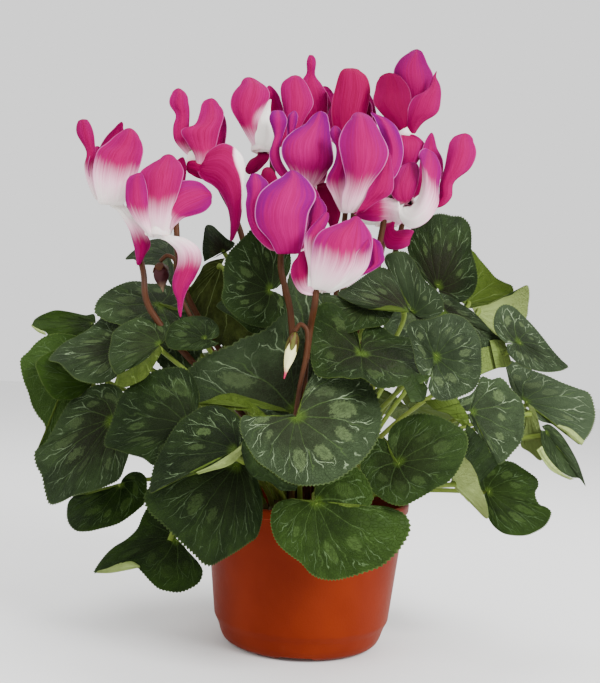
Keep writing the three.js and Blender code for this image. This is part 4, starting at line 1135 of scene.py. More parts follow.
def leaf_attributes(look, seed, angle, share, under, light):
    """What the paint needs to know of points: where they are on the plain heart shape, how near the
    margin they are, which side they are on, how light they are, which is their own tone together with
    painted light and shade, and the look of their leaf."""
    reach = margin_reach(angle) * share
    grey, _, silver, brown = look
    return dict(
        leaf_place=triples(reach * np.cos(angle), reach * np.sin(angle), seed),
        leaf_edge=triples(share, under, light),
        leaf_look=np.tile([grey, silver, brown], (len(angle), 1)),
    )


def blade_part(leaf):
    points = blade_points(leaf, BLADE_ANGLE, BLADE_SHARE, BLADE_TEETH)
    vein = VEIN_THICKENING * vein_crease(BLADE_ANGLE, BLADE_SHARE)
    thickness = MARGIN_THICKNESS + (JOINT_THICKENING + vein) * (1 - BLADE_SHARE)
    whole, faces = thickened(points, BLADE_FACES, BLADE_RIM, thickness)
    _, light, silver, _ = leaf["look"]
    under = np.repeat([0, 1], len(points))
    light = np.where(under, HIDDEN_LIGHT if silver > 0 else light, light)
    angle, share = np.tile(BLADE_ANGLE, 2), np.tile(BLADE_SHARE, 2)
    return shell(whole, faces, **leaf_attributes(leaf["look"], leaf["seed"], angle, share, under, light))


def flap_part(leaf, flap):
    """A turned margin, from the line it is folded along, where it meets the blade, to its end."""
    fold, end, under, light = flap
    even = np.linspace(0, 1, FLAP_COLUMNS)
    lines = []
    for line in (fold, end):
        line = flattened(leaf, line)
        run = line_shares(line)
        lines.append(np.column_stack([np.interp(even, run, line[:, k]) for k in range(2)]))
    angles, margin = leaf["margin"]
    nearest = np.argmin(np.linalg.norm(lines[0][:, None] - margin[None], axis=2), axis=1)
    angle = angles[nearest]
    _, _, normal, length = blade_frame(leaf)
    edge = blade_points(leaf, angle, np.ones(FLAP_COLUMNS))
    height = (edge - leaf["joint"]) @ normal / length
    side = math.copysign(1, (VIEW_EYE - leaf["joint"]) @ normal)
    step = np.linspace(0, 1, FLAP_ROWS)[:, None]
    u, v = (lines[0][:, k] * (1 - step) + lines[1][:, k] * step for k in range(2))
    out = side * FLAP_ROUND * (np.sin(math.pi * np.minimum(step * 1.3, 1)) + 0.4 * step) / length
    points = raised(leaf, u, v, height + out)
    across = np.cross(points[0, 1] - points[0, 0], points[1, 0] - points[0, 0])
    if across @ normal * side < 0:
        points, angle = points[:, ::-1], angle[::-1]
    whole, faces = solid_sheet(points, FLAP_THICKNESS)
    angle = np.tile(angle, 2 * FLAP_ROWS)
    share = np.tile(np.repeat(0.95 - 0.3 * step, FLAP_COLUMNS), 2)
    look = (FLAP_GREY, light, 0, 0)
    return shell(whole, faces, **leaf_attributes(look, leaf["seed"], angle, share, under, light))


def petiole_part(leaf, root):
    along, _, normal, _ = blade_frame(leaf)
    outward = (leaf["joint"] - root) * vector(1, 1, 0)
    rise = max(PETIOLE_LEAST_RISE, PETIOLE_RISE * (leaf["joint"][2] - root[2]))
    first = root + UP * rise + outward * PETIOLE_OUT
    end = blade_points(leaf, np.zeros(1), np.full(1, PETIOLE_LANDING))[0] - normal * PETIOLE_BELOW
    drop = max(0, POT_HEIGHT + RIM_CLEARANCE - leaf["joint"][2])
    second = end - (normal + along * PETIOLE_SWEEP) * PETIOLE_BACK + UP * RIM_LIFT * drop
    share = np.linspace(0, 1, STEM_STEPS)
    radii = tapered(PETIOLE_RADIUS, PETIOLE_TAPER, STEM_STEPS) + PETIOLE_FLARE * share**14
    path = bezier(root, first, second, end, share)
    return stem_part(path, radii, 0.75 - 0.5 * leaf["seed"], 0.1 * leaf["look"][0], leaf["seed"])


def leaf_paint():
    paint = Shader("marbled_leaf")
    u, v, seed = paint.attribute("leaf_place")
    share, under, light = paint.attribute("leaf_edge")
    grey, silver_amount, brown = paint.attribute("leaf_look")
    angle = paint.math("ARCTAN2", v, u)
    reach = paint.math("SQRT", u * u + v * v)
    here = paint.join(u, v, seed * 9)
    wander = paint.noise(here, 3.2, 1.5) - 0.5

    # Main veins fan out from the joint and fork twice on their way to the margin, more crooked there.
    bearing = (angle + wander * share * 0.45) / (1 - share * VEIN_SWEEP)
    cell = bearing / VEIN_SPACING
    near = paint.math("ROUND", cell)
    beside = abs(cell - near + (paint.noise(here, 11, 2) - 0.5) * 0.3 * share)
    fork = paint.chance(near, seed) * 0.18 + 0.42
    first = abs(beside - paint.math("MAXIMUM", share - fork, 0.0))
    second = abs(first - paint.math("MAXIMUM", share - fork - 0.2, 0.0) * 0.9)
    silver_line = 1 - paint.step(second * reach * VEIN_SPACING, 0.0025, 0.01)
    green_line = 1 - paint.step(beside * reach * VEIN_SPACING, 0.002, 0.0105)
    patchy = paint.step(paint.noise(here, 5, 2), 0.38, 0.56)
    silver = silver_line * patchy * paint.step(share, 0.36, 0.68) * (1 - paint.step(share, 0.88, 0.96))
    silver = silver * (silver_amount * 0.9 + 0.1)
    green_line = green_line * (1 - paint.step(share, 0.66, 0.98))

    # A pale cloud lies between two main veins, with speckled edges and a darker middle. Clouds
    # differ in size, and some are faint or missing.
    between = paint.math("FLOOR", cell)
    middle = paint.math("FRACT", cell) - 0.5
    luck = paint.chance(between + 7.3, seed)
    size = paint.chance(between + 3.1, seed) * 0.6 + 0.6
    out = (share - 0.48 - luck * 0.18) / (size * 0.14)
    side = middle * reach * VEIN_SPACING / (size * 0.1)
    speckle = paint.noise(here, 30, 3, 0.65)
    ragged = paint.math("SQRT", out * out + side * side) + (speckle - 0.5) * 1.5 + wander * 2
    cloud = (1 - paint.step(ragged, 0.6, 1.0)) * (paint.step(ragged, -0.3, 0.5) * 0.6 + 0.4)
    cloud = cloud * paint.step(luck, 0.15, 0.5) * (silver_amount * 0.75 + 0.08)

    # The upper side, from its ground to the veins, the joint and the margin.
    mottle = paint.noise(here, 7, 5, 0.6)
    broad = paint.noise(paint.join(u, v, seed * 5), 2.2, 2)
    net = paint.cells(here, 26, "DISTANCE_TO_EDGE")
    deep = paint.mix(grey, (0.0028, 0.0082, 0.0006), (0.0062, 0.0105, 0.004))
    fair = paint.mix(grey, (0.024, 0.056, 0.0035), (0.04, 0.061, 0.029))
    cloudy = paint.mix(grey, (0.05, 0.095, 0.018), (0.085, 0.12, 0.052))
    silvery = paint.mix(grey, (0.11, 0.19, 0.07), (0.26, 0.34, 0.2))
    # The ground goes from deep to fair by the leaf's light, which holds painted light and shade besides its
    # own tone, and by random mottling and the way to the margin.
    shade = light + (mottle - 0.5) * 0.8 + (broad - 0.5) * 0.9 + (share - 0.55) * 0.3
    dusk = brown * (1 - paint.step(share + (mottle - 0.5) * 0.5, 0.3, 0.85))
    pale = light * 0.8 + 0.2
    upper = paint.ramp(shade, -0.15, 1.15, deep, fair)
    upper = paint.mix(dusk * 0.85, upper, (0.0125, 0.0095, 0.0055))
    upper = paint.mix((1 - paint.step(net, 0.0, 0.16)) * (light * 0.4 + 0.08), upper, fair)
    upper = paint.mix(cloud, upper, cloudy)
    upper = paint.mix(green_line * 0.75 * pale, upper, (0.065, 0.115, 0.03))
    upper = paint.mix(silver * 0.9, upper, silvery)
    upper = paint.mix((1 - paint.step(reach, 0.02, 0.13)) * 0.75, upper, (0.06, 0.11, 0.012))
    upper = paint.mix(paint.step(share, 0.97, 1.0) * 0.6 * pale, upper, (0.11, 0.16, 0.045))

    # The underside is plain and paler; its lightness follows the leaf's light, so it too holds painted
    # light and shade besides its own tone.
    lower = paint.ramp(light, 0.1, 0.5, (0.011, 0.0145, 0.0017), (0.05, 0.085, 0.0085))
    lower = paint.ramp(light, 0.45, 1.0, lower, (0.4, 0.5, 0.17))
    lower = paint.mix(paint.step(mottle, 0.25, 0.8) * 0.35, lower, (0.11, 0.15, 0.03))
    lower = paint.mix(green_line * 0.4, lower, (0.19, 0.26, 0.085))
    rough = 0.44 + mottle * 0.16 + under * 0.15
    paint.set(base=paint.mix(under, upper, lower), roughness=rough, specular=0.06)
    paint.relief(paint.step(net, 0.0, 0.12) * 0.5 + speckle * 0.35 - silver_line * 0.5, 0.0005)
    return paint.material


def make_shoots(leaf_material, stem_material):
    rng = np.random.default_rng(LEAF_SEED)
    for name, (ring, azimuth, rows) in SHOOTS.items():
        head = crown_point(ring, azimuth) + UP * SHOOT_HEIGHT
        foot = head - UP * (SHOOT_HEIGHT + ROOT_DEPTH)
        stub = foot + np.outer(np.linspace(0, 1, len(STUB_SHAPE)), head - foot)
        blades, stems = [], [stem_part(stub, SHOOT_RADIUS * STUB_SHAPE, *STUB_RED, 0.5)]
        apart = PETIOLE_SPREAD if len(rows) > 1 else 0
        for number, row in enumerate(rows):
            leaf = {**row, "seed": rng.uniform(), "phases": rng.uniform(0, 2 * math.pi, 2)}
            if "outline" in leaf:
                trace_margin(leaf)
            root = head - UP * PETIOLE_ROOT - heading(azimuth + 90 + 360 * number / len(rows)) * apart
            blades.append(blade_part(leaf))
            blades.extend(flap_part(leaf, flap) for flap in leaf["flaps"])
            stems.append(petiole_part(leaf, root))
        make_piece(name + "_blades", blades, [leaf_material], name, BLADE_CREASE)
        make_piece(name + "_petioles", stems, [stem_material], name)


# Blooms hang mouth down, and their petals turn back and up.
PETAL_COUNT = 5
PETAL_TURN = 360 / PETAL_COUNT
MOUTH_RADIUS = 7
CUP_HEIGHT = 9.5
CUP_SIDES = 50
CUP_RIDGE = 0.05
CUP_INSIDE = [(0, 7.6), (2, 7.4), (3.6, 6), (4.7, 3.4), (5.5, 0.9)]
CUP_OUTSIDE = [
    (6.1, 0), (6.7, -0.1), (7.1, 0.6), (7.1, 2.2), (6.8, 4.4), (6.2, 6.6), (5.3, 8.4), (4.2, 9.3),
    (2, 9.6), (0, 9.7),
]
STYLE_TOP = 7.5
STYLE_TIP = -1.2
STYLE_RADII = [0.55, 0.5, 0.45, 0.42, 0.42, 0.45, 0.6, 0.5]
STYLE_SIDES = 8
STYLE_TONE = (0, 0.9, 0.5)
CALYX_RADIUS = 4.6
CALYX_HEIGHT = 4
CALYX_SHAPE = [
    (0, -0.05), (0.7, -0.075), (1, -0.025), (0.97, 0.0625), (0.72, 0.32), (0.5, 0.62), (0.36, 1), (0, 1),
]
CALYX_SIDES = 40
CALYX_POINTED_RINGS = 3
CALYX_POINT = 0.42
CALYX_NOTCH = 0.1
CALYX_DROOP = 0.8
CALYX_TONE = (0.5, 0.45, 0.3)

# A petal leaves the mouth by a narrow claw. One that is given by its tip alone widens from
# CLAW_BREADTH of its width and rounds off from ROUND_START of its length. Ruffles stand out by so
# many millimetres: broad and fine ones at the edges, and ridges at the base.
CLAW_START = 5
CLAW_RISE = 1.2
CLAW_OUT = 8
CLAW_DROP = 3.5
CLAW_HALF = 4.1
PETAL_BELLY = 5
BELLY_SHARE = 0.4
PETAL_TWIST = math.radians(34)
PETAL_HOLLOW = 0.12
PETAL_LEAN = 0.1
CLAW_BREADTH = 0.36
SPREAD_START = 0.04
SPREAD_RUN = 0.56
ROUND_START = 0.62
PETAL_ROWS = 40
PETAL_ACROSS = np.linspace(-1, 1, 19)
PETAL_THICKNESS = 0.4
ROW_CROWDING = 1.3
BLOOM_SEED = 8
BROAD_RUFFLE = 0.75
FINE_RUFFLE = 0.32
BASE_RIDGE = 0.14
STALK_STRAIGHT = 6
STALK_RISE = 24
STALK_LEAN = 0.03
STALK_BESIDE = MOUTH_RADIUS + STALK_RADIUS + 1.5

# How a stalk hooks over: how far out each point is, and how far above what hangs from it.
BLOOM_HOOK = [
    (STALK_BESIDE + 1, -7), (STALK_BESIDE, 4), (0.75 * STALK_BESIDE, CUP_HEIGHT + 6),
    (0.3 * STALK_BESIDE, CUP_HEIGHT + 8), (0, CUP_HEIGHT + 2),
]
BUD_HOOK = [(6.5, -6), (5.5, 3), (2.5, 5), (0, 1.5)]
BLOOM = dict(via=(), axis=UP)
# Petal defaults; deep, the dark pink of painted shade, is none unless a petal gives it.
PETAL = dict(wide=23, white=0.4, purple=0.3, deep=0, pale_side=0)

# Blooms: where the mouth of the cup is, and the five petals anticlockwise from the one that leaves
# the mouth at the turn. behind says which space between petals the stalk uses, and via where else
# the stalk passes. A petal has a tip and how wide it is, or rows from its base to its tip: the
# column and row of one edge and of the other in the reference view, how near the edges are, and how
# far the middle stands out. white is how much of the petal is white from its base, and pale_side
# how much more on one side of it; purple turns its pink to lilac, and deep turns it to dark pink,
# which is painted shade on petals that lie in shadow.
BLOOMS = {
    "bloom_far_left": dict(
        ring=STALK_RING, azimuth=172, mouth=seen(111, 202, -6), turn=-95, behind=1,
        via=[seen(151, 311, 25), seen(143, 270, 6)], petals=[
            dict(white=0.55, rows=[
                (99,204, 121,206, 3, 1), (95,188, 130,193, 5, 3), (94,170, 136,177, 3, 5),
                (98,151, 141,160, -1, 5), (108,143, 143,149, -4, 4), (119,133, 140,138, -6, 3),
                (130,128, 131,128, -8, 0)]),
            dict(white=0.72, rows=[
                (110,205, 123,204, -2, 1), (119,211, 128,211, 0, 2), (127,222, 137,223, 2, 3),
                (131,234, 147,237, 4, 3), (134,248, 150,246, 5, 3), (136,258, 146,255, 6, 2),
                (138,265, 139,265, 6, 0)]),
            dict(deep=0.6, rows=[
                (104,196, 116,198, -10, 0), (99,170, 122,172, -16, -2), (99,150, 130,150, -20, -3),
                (106,137, 126,137, -22, -2), (116,127, 123,128, -24, -1), (121,122, 123,122, -25, 0)]),
            dict(tip=seen(98, 146, -22)),
            dict(white=0.5, deep=0.3, rows=[
                (97,201, 101,204, -4, 0), (88,185, 99,186, -8, 2), (83,165, 98,168, -12, 3),
                (85,151, 96,150, -14, 2), (77,133, 94,132, -16, 3), (78,122, 88,121, -18, 2),
                (82,119, 83,119, -19, 0)]),
        ]),
    "bloom_left": dict(
        ring=MIDDLE_RING, azimuth=-178, mouth=seen(158, 236, 24), turn=-112, behind=1,
        via=[seen(189, 300, 6)], petals=[
            dict(white=0.46, rows=[
                (150,237, 166,238, 27, 1), (146,222, 170,224, 29, 3), (143,204, 174,204, 29, 5),
                (140,187, 180,185, 27, 6), (140,173, 184,172, 24, 5), (150,163, 181,163, 21, 3),
                (160,157, 176,158, 19, 2), (168,154, 170,154, 18, 0)]),
            dict(white=0.54, rows=[
                (160,238, 171,236, 26, 1), (168,242, 186,239, 29, 2), (176,252, 199,249, 31, 3),
                (177,264, 202,262, 32, 4), (173,278, 196,277, 33, 3), (173,290, 187,290, 34, 2),
                (178,301, 183,301, 34, 1), (180,317, 181,317, 34, 0)]),
            dict(white=0.42, purple=0.6, rows=[
                (158,237, 170,236, 22, 1), (160,220, 175,228, 26, 2), (162,205, 183,219, 27, 3),
                (170,188, 193,216, 25, 4), (184,181, 203,212, 22, 4), (198,182, 210,205, 20, 2),
                (210,191, 212,198, 18, 0.5), (212,194, 212,195, 18, 0)]),
            dict(tip=seen(183, 157, 6), deep=0.8, wide=16),
            dict(white=0.52, purple=0.5, rows=[
                (149,237, 154,238, 28, 0.5), (136,221, 150,223, 31, 2), (127,203, 148,206, 32, 3),
                (126,188, 146,189, 30, 3), (129,178, 144,178, 28, 2), (137,172, 142,173, 26, 0)]),
        ]),
    "bloom_left_back": dict(
        ring=STALK_RING, azimuth=146, mouth=seen(198, 166, -2), turn=-100, behind=1,
        via=[seen(240, 230, -6)], petals=[
            dict(white=0.3, rows=[
                (195,168, 209,164, 7, 1), (194,156, 214,152, 7, 3), (186,141, 217,143, 3, 4),
                (182,131, 220,130, 3, 4), (195,125, 223,119, 1, 3), (200,113, 223,112, -2, 2),
                (203,103, 219,105, -4, 1), (211,98, 213,98, -5, 0)]),
            dict(white=-0.15, deep=0.25, pale_side=1.8, rows=[
                (198,171, 204,160, 8, 0), (203,179, 212,150, 9, 3), (213,185, 226,144, 10, 5),
                (221,195, 241,155, 12, 5), (227,208, 245,172, 12, 4), (230,222, 244,195, 12, 3),
                (230,234, 241,218, 12, 2), (232,240, 233,240, 12, 0)]),
            dict(tip=seen(216, 108, -12), wide=18),
            dict(white=-0.2, deep=0.4, purple=0, rows=[
                (210,164, 210,180, 7, 0), (199,161, 201,179, 7, 1.5), (190,162, 191,174, 5, 1),
                (186,167, 187,170, 4, 0)]),
            dict(white=0.36, rows=[
                (192,160, 200,163, -4, 0), (183,152, 194,152, -6, 2), (175,140, 190,138, -8, 2),
                (174,127, 189,126, -9, 2), (176,115, 189,114, -10, 1.5), (170,104, 188,103, -10, 3),
                (172,94, 187,95, -11, 2), (178,88, 179,88, -12, 0)]),
        ]),
    "bloom_top_left": dict(
        ring=MIDDLE_RING, azimuth=112, mouth=seen(263, 152, -6), turn=-120, behind=2, petals=[
            dict(white=0.36, pale_side=0.3, rows=[
                (256,152, 263,152, -4, 1), (248,137, 259,138, -2, 2), (239,123, 257,124, -1, 3),
                (231,108, 263,111, -2, 5), (232,93, 270,98, -4, 5), (240,83, 267,87, -6, 3),
                (248,77, 252,77, -8, 0)]),
            dict(white=1.2, rows=[
                (261,152, 268,152, -2, 1), (255,140, 273,141, 0, 3), (257,121, 271,121, -1, 2),
                (263,108, 271,107, -3, 1), (270,99, 271,99, -4, 0)]),
            dict(white=0.15, purple=0.3, rows=[
                (266,151, 273,151, -6, 1), (278,135, 296,137, -8, 3), (283,116, 307,117, -10, 4),
                (281,98, 314,103, -12, 4), (282,84, 309,88, -14, 3), (290,77, 301,78, -15, 1.5),
                (295,75, 297,75, -16, 0)]),
            dict(white=0.2, rows=[
                (264,148, 276,148, -12, 0), (262,120, 284,122, -16, -2), (265,98, 281,100, -18, -2),
                (268,85, 271,86, -20, 0)]),
            dict(white=-0.2, deep=0.9, rows=[
                (258,153, 268,154, -4, 0), (250,160, 268,160, 0, 1), (246,168, 259,170, 2, 1),
                (248,174, 250,174, 2, 0)]),
        ]),
    "bloom_back_middle": dict(
        ring=STALK_RING, azimuth=94, mouth=seen(312, 136, -50), turn=-100, behind=2, petals=[
            dict(white=0.1, rows=[
                (305,137, 320,137, -46, 1), (300,118, 332,120, -44, 3), (301,100, 331,101, -44, 3),
                (302,82, 322,84, -45, 2), (307,73, 315,75, -46, 1), (307,63, 315,63, -46, 2),
                (309,55, 313,55, -47, 0.5), (310,54, 311,54, -47, 0)]),
            dict(tip=seen(326, 92, -44), wide=20, deep=0.6),
            dict(tip=seen(324, 86, -62), wide=20),
            dict(tip=seen(308, 80, -70), wide=20),
            dict(tip=seen(298, 92, -56), wide=20),
        ]),
    "bloom_back_right": dict(
        ring=STALK_RING, azimuth=64, mouth=seen(352, 148, -28), turn=-90, behind=2, petals=[
            dict(white=0.05, deep=0.35, purple=0, rows=[
                (346,147, 358,147, -24, 1), (334,128, 362,126, -22, 3), (331,110, 368,106, -22, 4),
                (334,90, 371,90, -24, 4), (338,75, 367,76, -26, 3), (343,69, 360,70, -27, 1.5),
                (350,68, 355,68, -28, 0)]),
            dict(tip=seen(368, 102, -30), wide=18),
            dict(tip=seen(360, 88, -44), wide=22),
            dict(tip=seen(346, 88, -46), wide=22),
            dict(tip=seen(338, 100, -32), wide=18),
        ]),
    "bloom_top_right": dict(
        ring=STALK_RING, azimuth=36, mouth=seen(404, 138, -18), turn=-125, behind=2,
        via=[seen(400, 234, -44)], petals=[
            dict(white=0.02, deep=0.9, purple=0.3, rows=[
                (400,136, 409,136, -14, 1), (388,120, 411,118, -12, 3), (374,104, 411,102, -12, 2),
                (375,90, 410,90, -14, 0), (379,78, 402,78, -15, 0), (386,72, 393,73, -16, 0)]),
            dict(white=0.02, deep=0.25, purple=0.4, rows=[
                (408,136, 415,134, -14, 1), (407,122, 424,121, -11, 3), (408,108, 438,112, -10, 4),
                (414,96, 442,98, -11, 4), (426,88, 441,86, -13, 3), (433,77, 437,76, -15, 1),
                (436,71, 437,71, -16, 0)]),
            dict(white=0.02, deep=0.5, purple=0.9, rows=[
                (404,134, 414,134, -22, 0), (402,112, 424,114, -24, 2), (400,93, 431,92, -24, 5),
                (393,74, 434,76, -24, 6), (399,61, 428,63, -25, 4), (409,53, 423,54, -26, 2),
                (416,49, 418,49, -27, 0)]),
            dict(tip=seen(406, 66, -36), wide=24),
            dict(white=-0.1, rows=[
                (401,136, 412,136, -12, 0), (397,143, 424,144, -6, 2), (397,155, 422,154, -4, 3),
                (401,166, 415,166, -3, 1), (407,170, 409,170, -3, 0)]),
        ]),
    "bloom_middle": dict(
        ring=MIDDLE_RING, azimuth=-110, mouth=seen(304, 190, 16), turn=-85, behind=2, petals=[
            dict(white=0.26, purple=1, rows=[
                (300,189, 312,190, 20, 1), (290,172, 326,175, 23, 3), (281,156, 334,163, 24, 5),
                (282,142, 333,148, 23, 5), (293,132, 331,133, 21, 4), (306,124, 328,121, 19, 2),
                (319,111, 321,111, 17, 0)]),
            dict(white=-0.2, deep=1, rows=[
                (305,190, 313,189, 14, 0), (313,196, 326,184, 14, 2), (322,210, 337,196, 13, 2),
                (329,224, 341,212, 12, 1), (334,228, 336,228, 12, 0)]),
            dict(tip=seen(312, 122, 2), wide=20, deep=0.5),
            dict(white=0.05, purple=1, rows=[
                (296,188, 304,188, 12, 0), (288,160, 300,160, 12, 1), (287,135, 295,135, 10, 1),
                (287,117, 298,118, 8, 1), (293,110, 296,111, 6, 0)]),
            dict(white=0.05, purple=1, rows=[
                (294,188, 301,189, 16, 0), (276,172, 290,176, 17, 2), (269,156, 282,160, 17, 2),
                (271,143, 281,145, 15, 2), (273,133, 284,134, 13, 1.5), (269,120, 288,121, 12, 3),
                (272,112, 284,112, 10, 1.5), (277,110, 278,110, 9, 0)]),
        ]),
    "bloom_right_middle": dict(
        ring=MIDDLE_RING, azimuth=-38, mouth=seen(352, 205, 36), turn=-98, behind=2, petals=[
            dict(white=0.42, purple=0.6, rows=[
                (342,213, 356,213, 42, 1), (343,197, 365,198, 45, 3), (347,182, 371,183, 47, 4),
                (342,160, 384,164, 48, 6), (339,143, 388,150, 47, 6), (343,128, 381,132, 45, 5),
                (350,117, 372,118, 43, 3), (357,112, 361,112, 41, 0)]),
            dict(white=0.2, purple=1, rows=[
                (356,212, 363,210, 38, 0), (366,196, 378,190, 37, 2), (376,172, 396,176, 36, 3),
                (386,152, 402,156, 34, 3), (380,130, 399,134, 32, 3), (374,117, 391,121, 30, 1),
                (371,113, 374,112, 29, 0)]),
            dict(white=0.1, rows=[
                (355,213, 362,212, 44, 0), (364,201, 378,200, 46, 1), (368,190, 391,192, 47, 2),
                (375,174, 394,178, 46, 2), (383,161, 392,162, 44, 1), (388,152, 389,152, 43, 0)]),
            dict(tip=seen(354, 126, 26), wide=20),
            dict(white=0.45, purple=0.8, rows=[
                (341,212, 347,213, 40, 0), (333,196, 344,197, 40, 1), (326,181, 345,180, 38, 2),
                (334,163, 347,162, 37, 2), (335,148, 343,148, 36, 1), (329,135, 343,134, 35, 2),
                (331,125, 339,126, 34, 0)]),
        ]),
    "bloom_front_left": dict(
        ring=STALK_RING, azimuth=-134, mouth=seen(288, 252, 48), turn=-85, behind=2.2,
        via=[seen(291, 316, 38)], petals=[
            dict(white=0.06, purple=1, rows=[
                (277,254, 300,254, 57, 1), (269,241, 304,241, 58, 4), (258,226, 307,224, 57, 7),
                (256,211, 309,212, 57, 8), (260,194, 315,197, 55, 7), (271,184, 311,186, 53, 5),
                (283,177, 304,177, 51, 3), (291,170, 293,170, 49, 0)]),
            dict(white=0.1, deep=0.3, purple=1, rows=[
                (296,251, 303,249, 50, 0), (304,238, 310,238, 50, 1), (308,224, 317,224, 49, 2),
                (308,213, 327,212, 47, 2), (312,203, 325,203, 45, 1), (316,196, 318,196, 43, 0)]),
            dict(tip=seen(308, 184, 34), wide=22),
            dict(white=-0.1, deep=1, rows=[
                (276,250, 285,250, 46, 0), (262,215, 284,215, 40, 0), (258,185, 280,190, 36, 1),
                (261,172, 278,178, 34, 2), (268,167, 271,167, 33, 0)]),
            dict(white=0.12, purple=1, rows=[
                (272,251, 281,252, 48, 0), (262,243, 276,246, 48, 2), (249,222, 264,226, 46, 3),
                (246,205, 261,208, 44, 3), (247,194, 264,196, 42, 3), (245,184, 269,184, 40, 3),
                (249,176, 262,176, 38, 1), (254,173, 256,173, 37, 0)]),
        ]),
    "bloom_front": dict(
        ring=STALK_RING, azimuth=-88, mouth=seen(322, 291, 62), turn=-72, behind=4,
        via=[around(-90, 45, 104), seen(304, 388, 66), seen(310, 330, 63)], petals=[
            dict(white=0.58, purple=0.5, rows=[
                (312,288, 331,292, 75, 1), (311,272, 352,284, 78, 4), (313,255, 367,268, 79, 7),
                (315,240, 371,250, 77, 7), (322,231, 371,237, 75, 6), (337,225, 366,226, 73, 4),
                (350,219, 361,219, 71, 2), (355,216, 357,216, 70, 0)]),
            dict(white=0.85, purple=0.5, rows=[
                (326,292, 333,293, 75, 0), (340,280, 356,281, 80, 2), (349,264, 367,268, 82, 3),
                (352,254, 369,256, 82, 2), (359,247, 369,247, 81, 1), (368,239, 369,239, 79, 0)]),
            dict(white=0.2, purple=0.9, rows=[
                (330,291, 335,290, 69, 0), (352,277, 358,276, 69, 1), (368,266, 383,262, 67, 2),
                (368,255, 384,252, 66, 2), (369,244, 381,243, 65, 1), (371,237, 373,238, 64, 0)]),
            dict(white=0.6, deep=0.5, rows=[
                (312,294, 316,290, 73, 0), (300,291, 310,284, 74, 2), (292,277, 310,271, 73, 3),
                (292,264, 309,260, 71, 2), (297,255, 306,252, 69, 1), (301,251, 303,251, 68, 0)]),
            dict(white=0.7, purple=0.6, rows=[
                (308,286, 316,288, 75, 0), (309,268, 317,270, 75, 1), (305,251, 318,253, 73, 2),
                (305,237, 320,238, 71, 2), (311,225, 326,228, 69, 2), (320,216, 329,219, 67, 1),
                (327,212, 328,212, 66, 0)]),
        ]),
    "bloom_right": dict(
        ring=STALK_RING, azimuth=-14, mouth=seen(404, 208, 14), turn=-62, behind=3,
        axis=unit(vector(0.05, 0.8, 0.6)), petals=[
            dict(white=0.1, purple=0.3, rows=[
                (410,209, 418,206, 10, 0), (426,212, 440,206, 12, 1), (438,198, 452,197, 13, 3),
                (439,184, 455,183, 13, 3), (443,168, 470,170, 13, 4), (447,150, 477,154, 12, 4),
                (452,139, 474,141, 10, 2), (464,133, 467,133, 9, 0)]),
            dict(white=0.7, purple=0.7, rows=[
                (399,209, 408,208, 23, 0), (401,221, 412,207, 24, 2), (411,229, 419,197, 24, 5),
                (427,223, 422,183, 24, 7), (438,206, 421,168, 22, 8), (439,188, 419,158, 19, 6),
                (441,170, 420,152, 16, 4), (434,154, 425,149, 14, 1), (429,150, 428,150, 13, 0)]),
            dict(white=0.2, purple=0.4, rows=[
                (405,200, 414,198, 4, 0), (418,172, 440,180, 2, 1), (421,155, 442,162, 0, 2),
                (425,143, 437,148, -2, 1), (431,132, 433,133, -4, 0)]),
            dict(white=0.3, purple=0.4, rows=[
                (398,202, 411,201, 23, 0), (391,194, 417,188, 23, 1), (392,185, 419,179, 20, 2),
                (397,172, 419,168, 14, 2), (403,162, 416,162, 11, 0)]),
            dict(white=0.55, rows=[
                (399,202, 400,212, 23, 0), (396,200, 400,223, 21, 2), (386,198, 389,221, 17, 3),
                (374,199, 374,221, 17, 3), (363,202, 363,219, 15, 2), (357,207, 357,215, 13, 1),
                (355,211, 355,212, 12, 0)]),
        ]),
    "bloom_right_back": dict(
        ring=STALK_RING, azimuth=12, mouth=seen(386, 226, -14), turn=-90, behind=2, petals=[
            dict(white=-0.1, deep=0.2, purple=0.3, rows=[
                (380,234, 395,221, -4, 1), (384,241, 395,229, -3, 1), (387,248, 400,230, -3, 2),
                (397,249, 408,230, -2, 3), (406,245, 412,231, -2, 2), (411,237, 412,234, -3, 0)]),
            dict(tip=seen(404, 180, -18), wide=20),
            dict(tip=seen(398, 170, -28), wide=22),
            dict(tip=seen(374, 170, -28), wide=22),
            dict(tip=seen(366, 180, -18), wide=20, white=0.8),
        ]),
}


def smooth_curve(stations, count):
    """Points on a smooth curve through stations, with how far along each one is. A station holds
    several points side by side: the middle one sets the spacing, and the curve ends rounded."""
    centre = stations.shape[1] // 2
    middle = stations[:, centre]
    stations[-1] = middle[-1]
    gaps = np.linalg.norm(np.diff(middle, axis=0), axis=1)
    knots = np.concatenate([[0], np.cumsum(np.maximum(gaps, 0.5))])
    knots /= knots[-1]
    slopes = np.empty_like(stations)
    for k in range(len(knots)):
        low, high = max(k - 1, 0), min(k + 1, len(knots) - 1)
        slopes[k] = (stations[high] - stations[low]) / (knots[high] - knots[low])
    share = crowded(np.linspace(0, 1, count))
    k = np.clip(np.searchsorted(knots, share, side="right") - 1, 0, len(knots) - 2)
    gap = (knots[k + 1] - knots[k])[:, None, None]
    x = (share - knots[k])[:, None, None] / gap
    curve = (
        stations[k] * (1 + 2 * x) * (1 - x) ** 2 + slopes[k] * gap * x * (1 - x) ** 2
        + stations[k + 1] * x * x * (3 - 2 * x) - slopes[k + 1] * gap * x * x * (1 - x)
    )
    fuller = np.where(k[:, None, None] == len(knots) - 2, np.maximum(1 - x, 0.02) ** -0.45, 1)
    spine = curve[:, centre][:, None]
    return spine + (curve - spine) * fuller, share


def crowded(share):
    """Shares from 0 to 1 that lie closer together towards 1."""
    return 1 - (1 - share) ** ROW_CROWDING


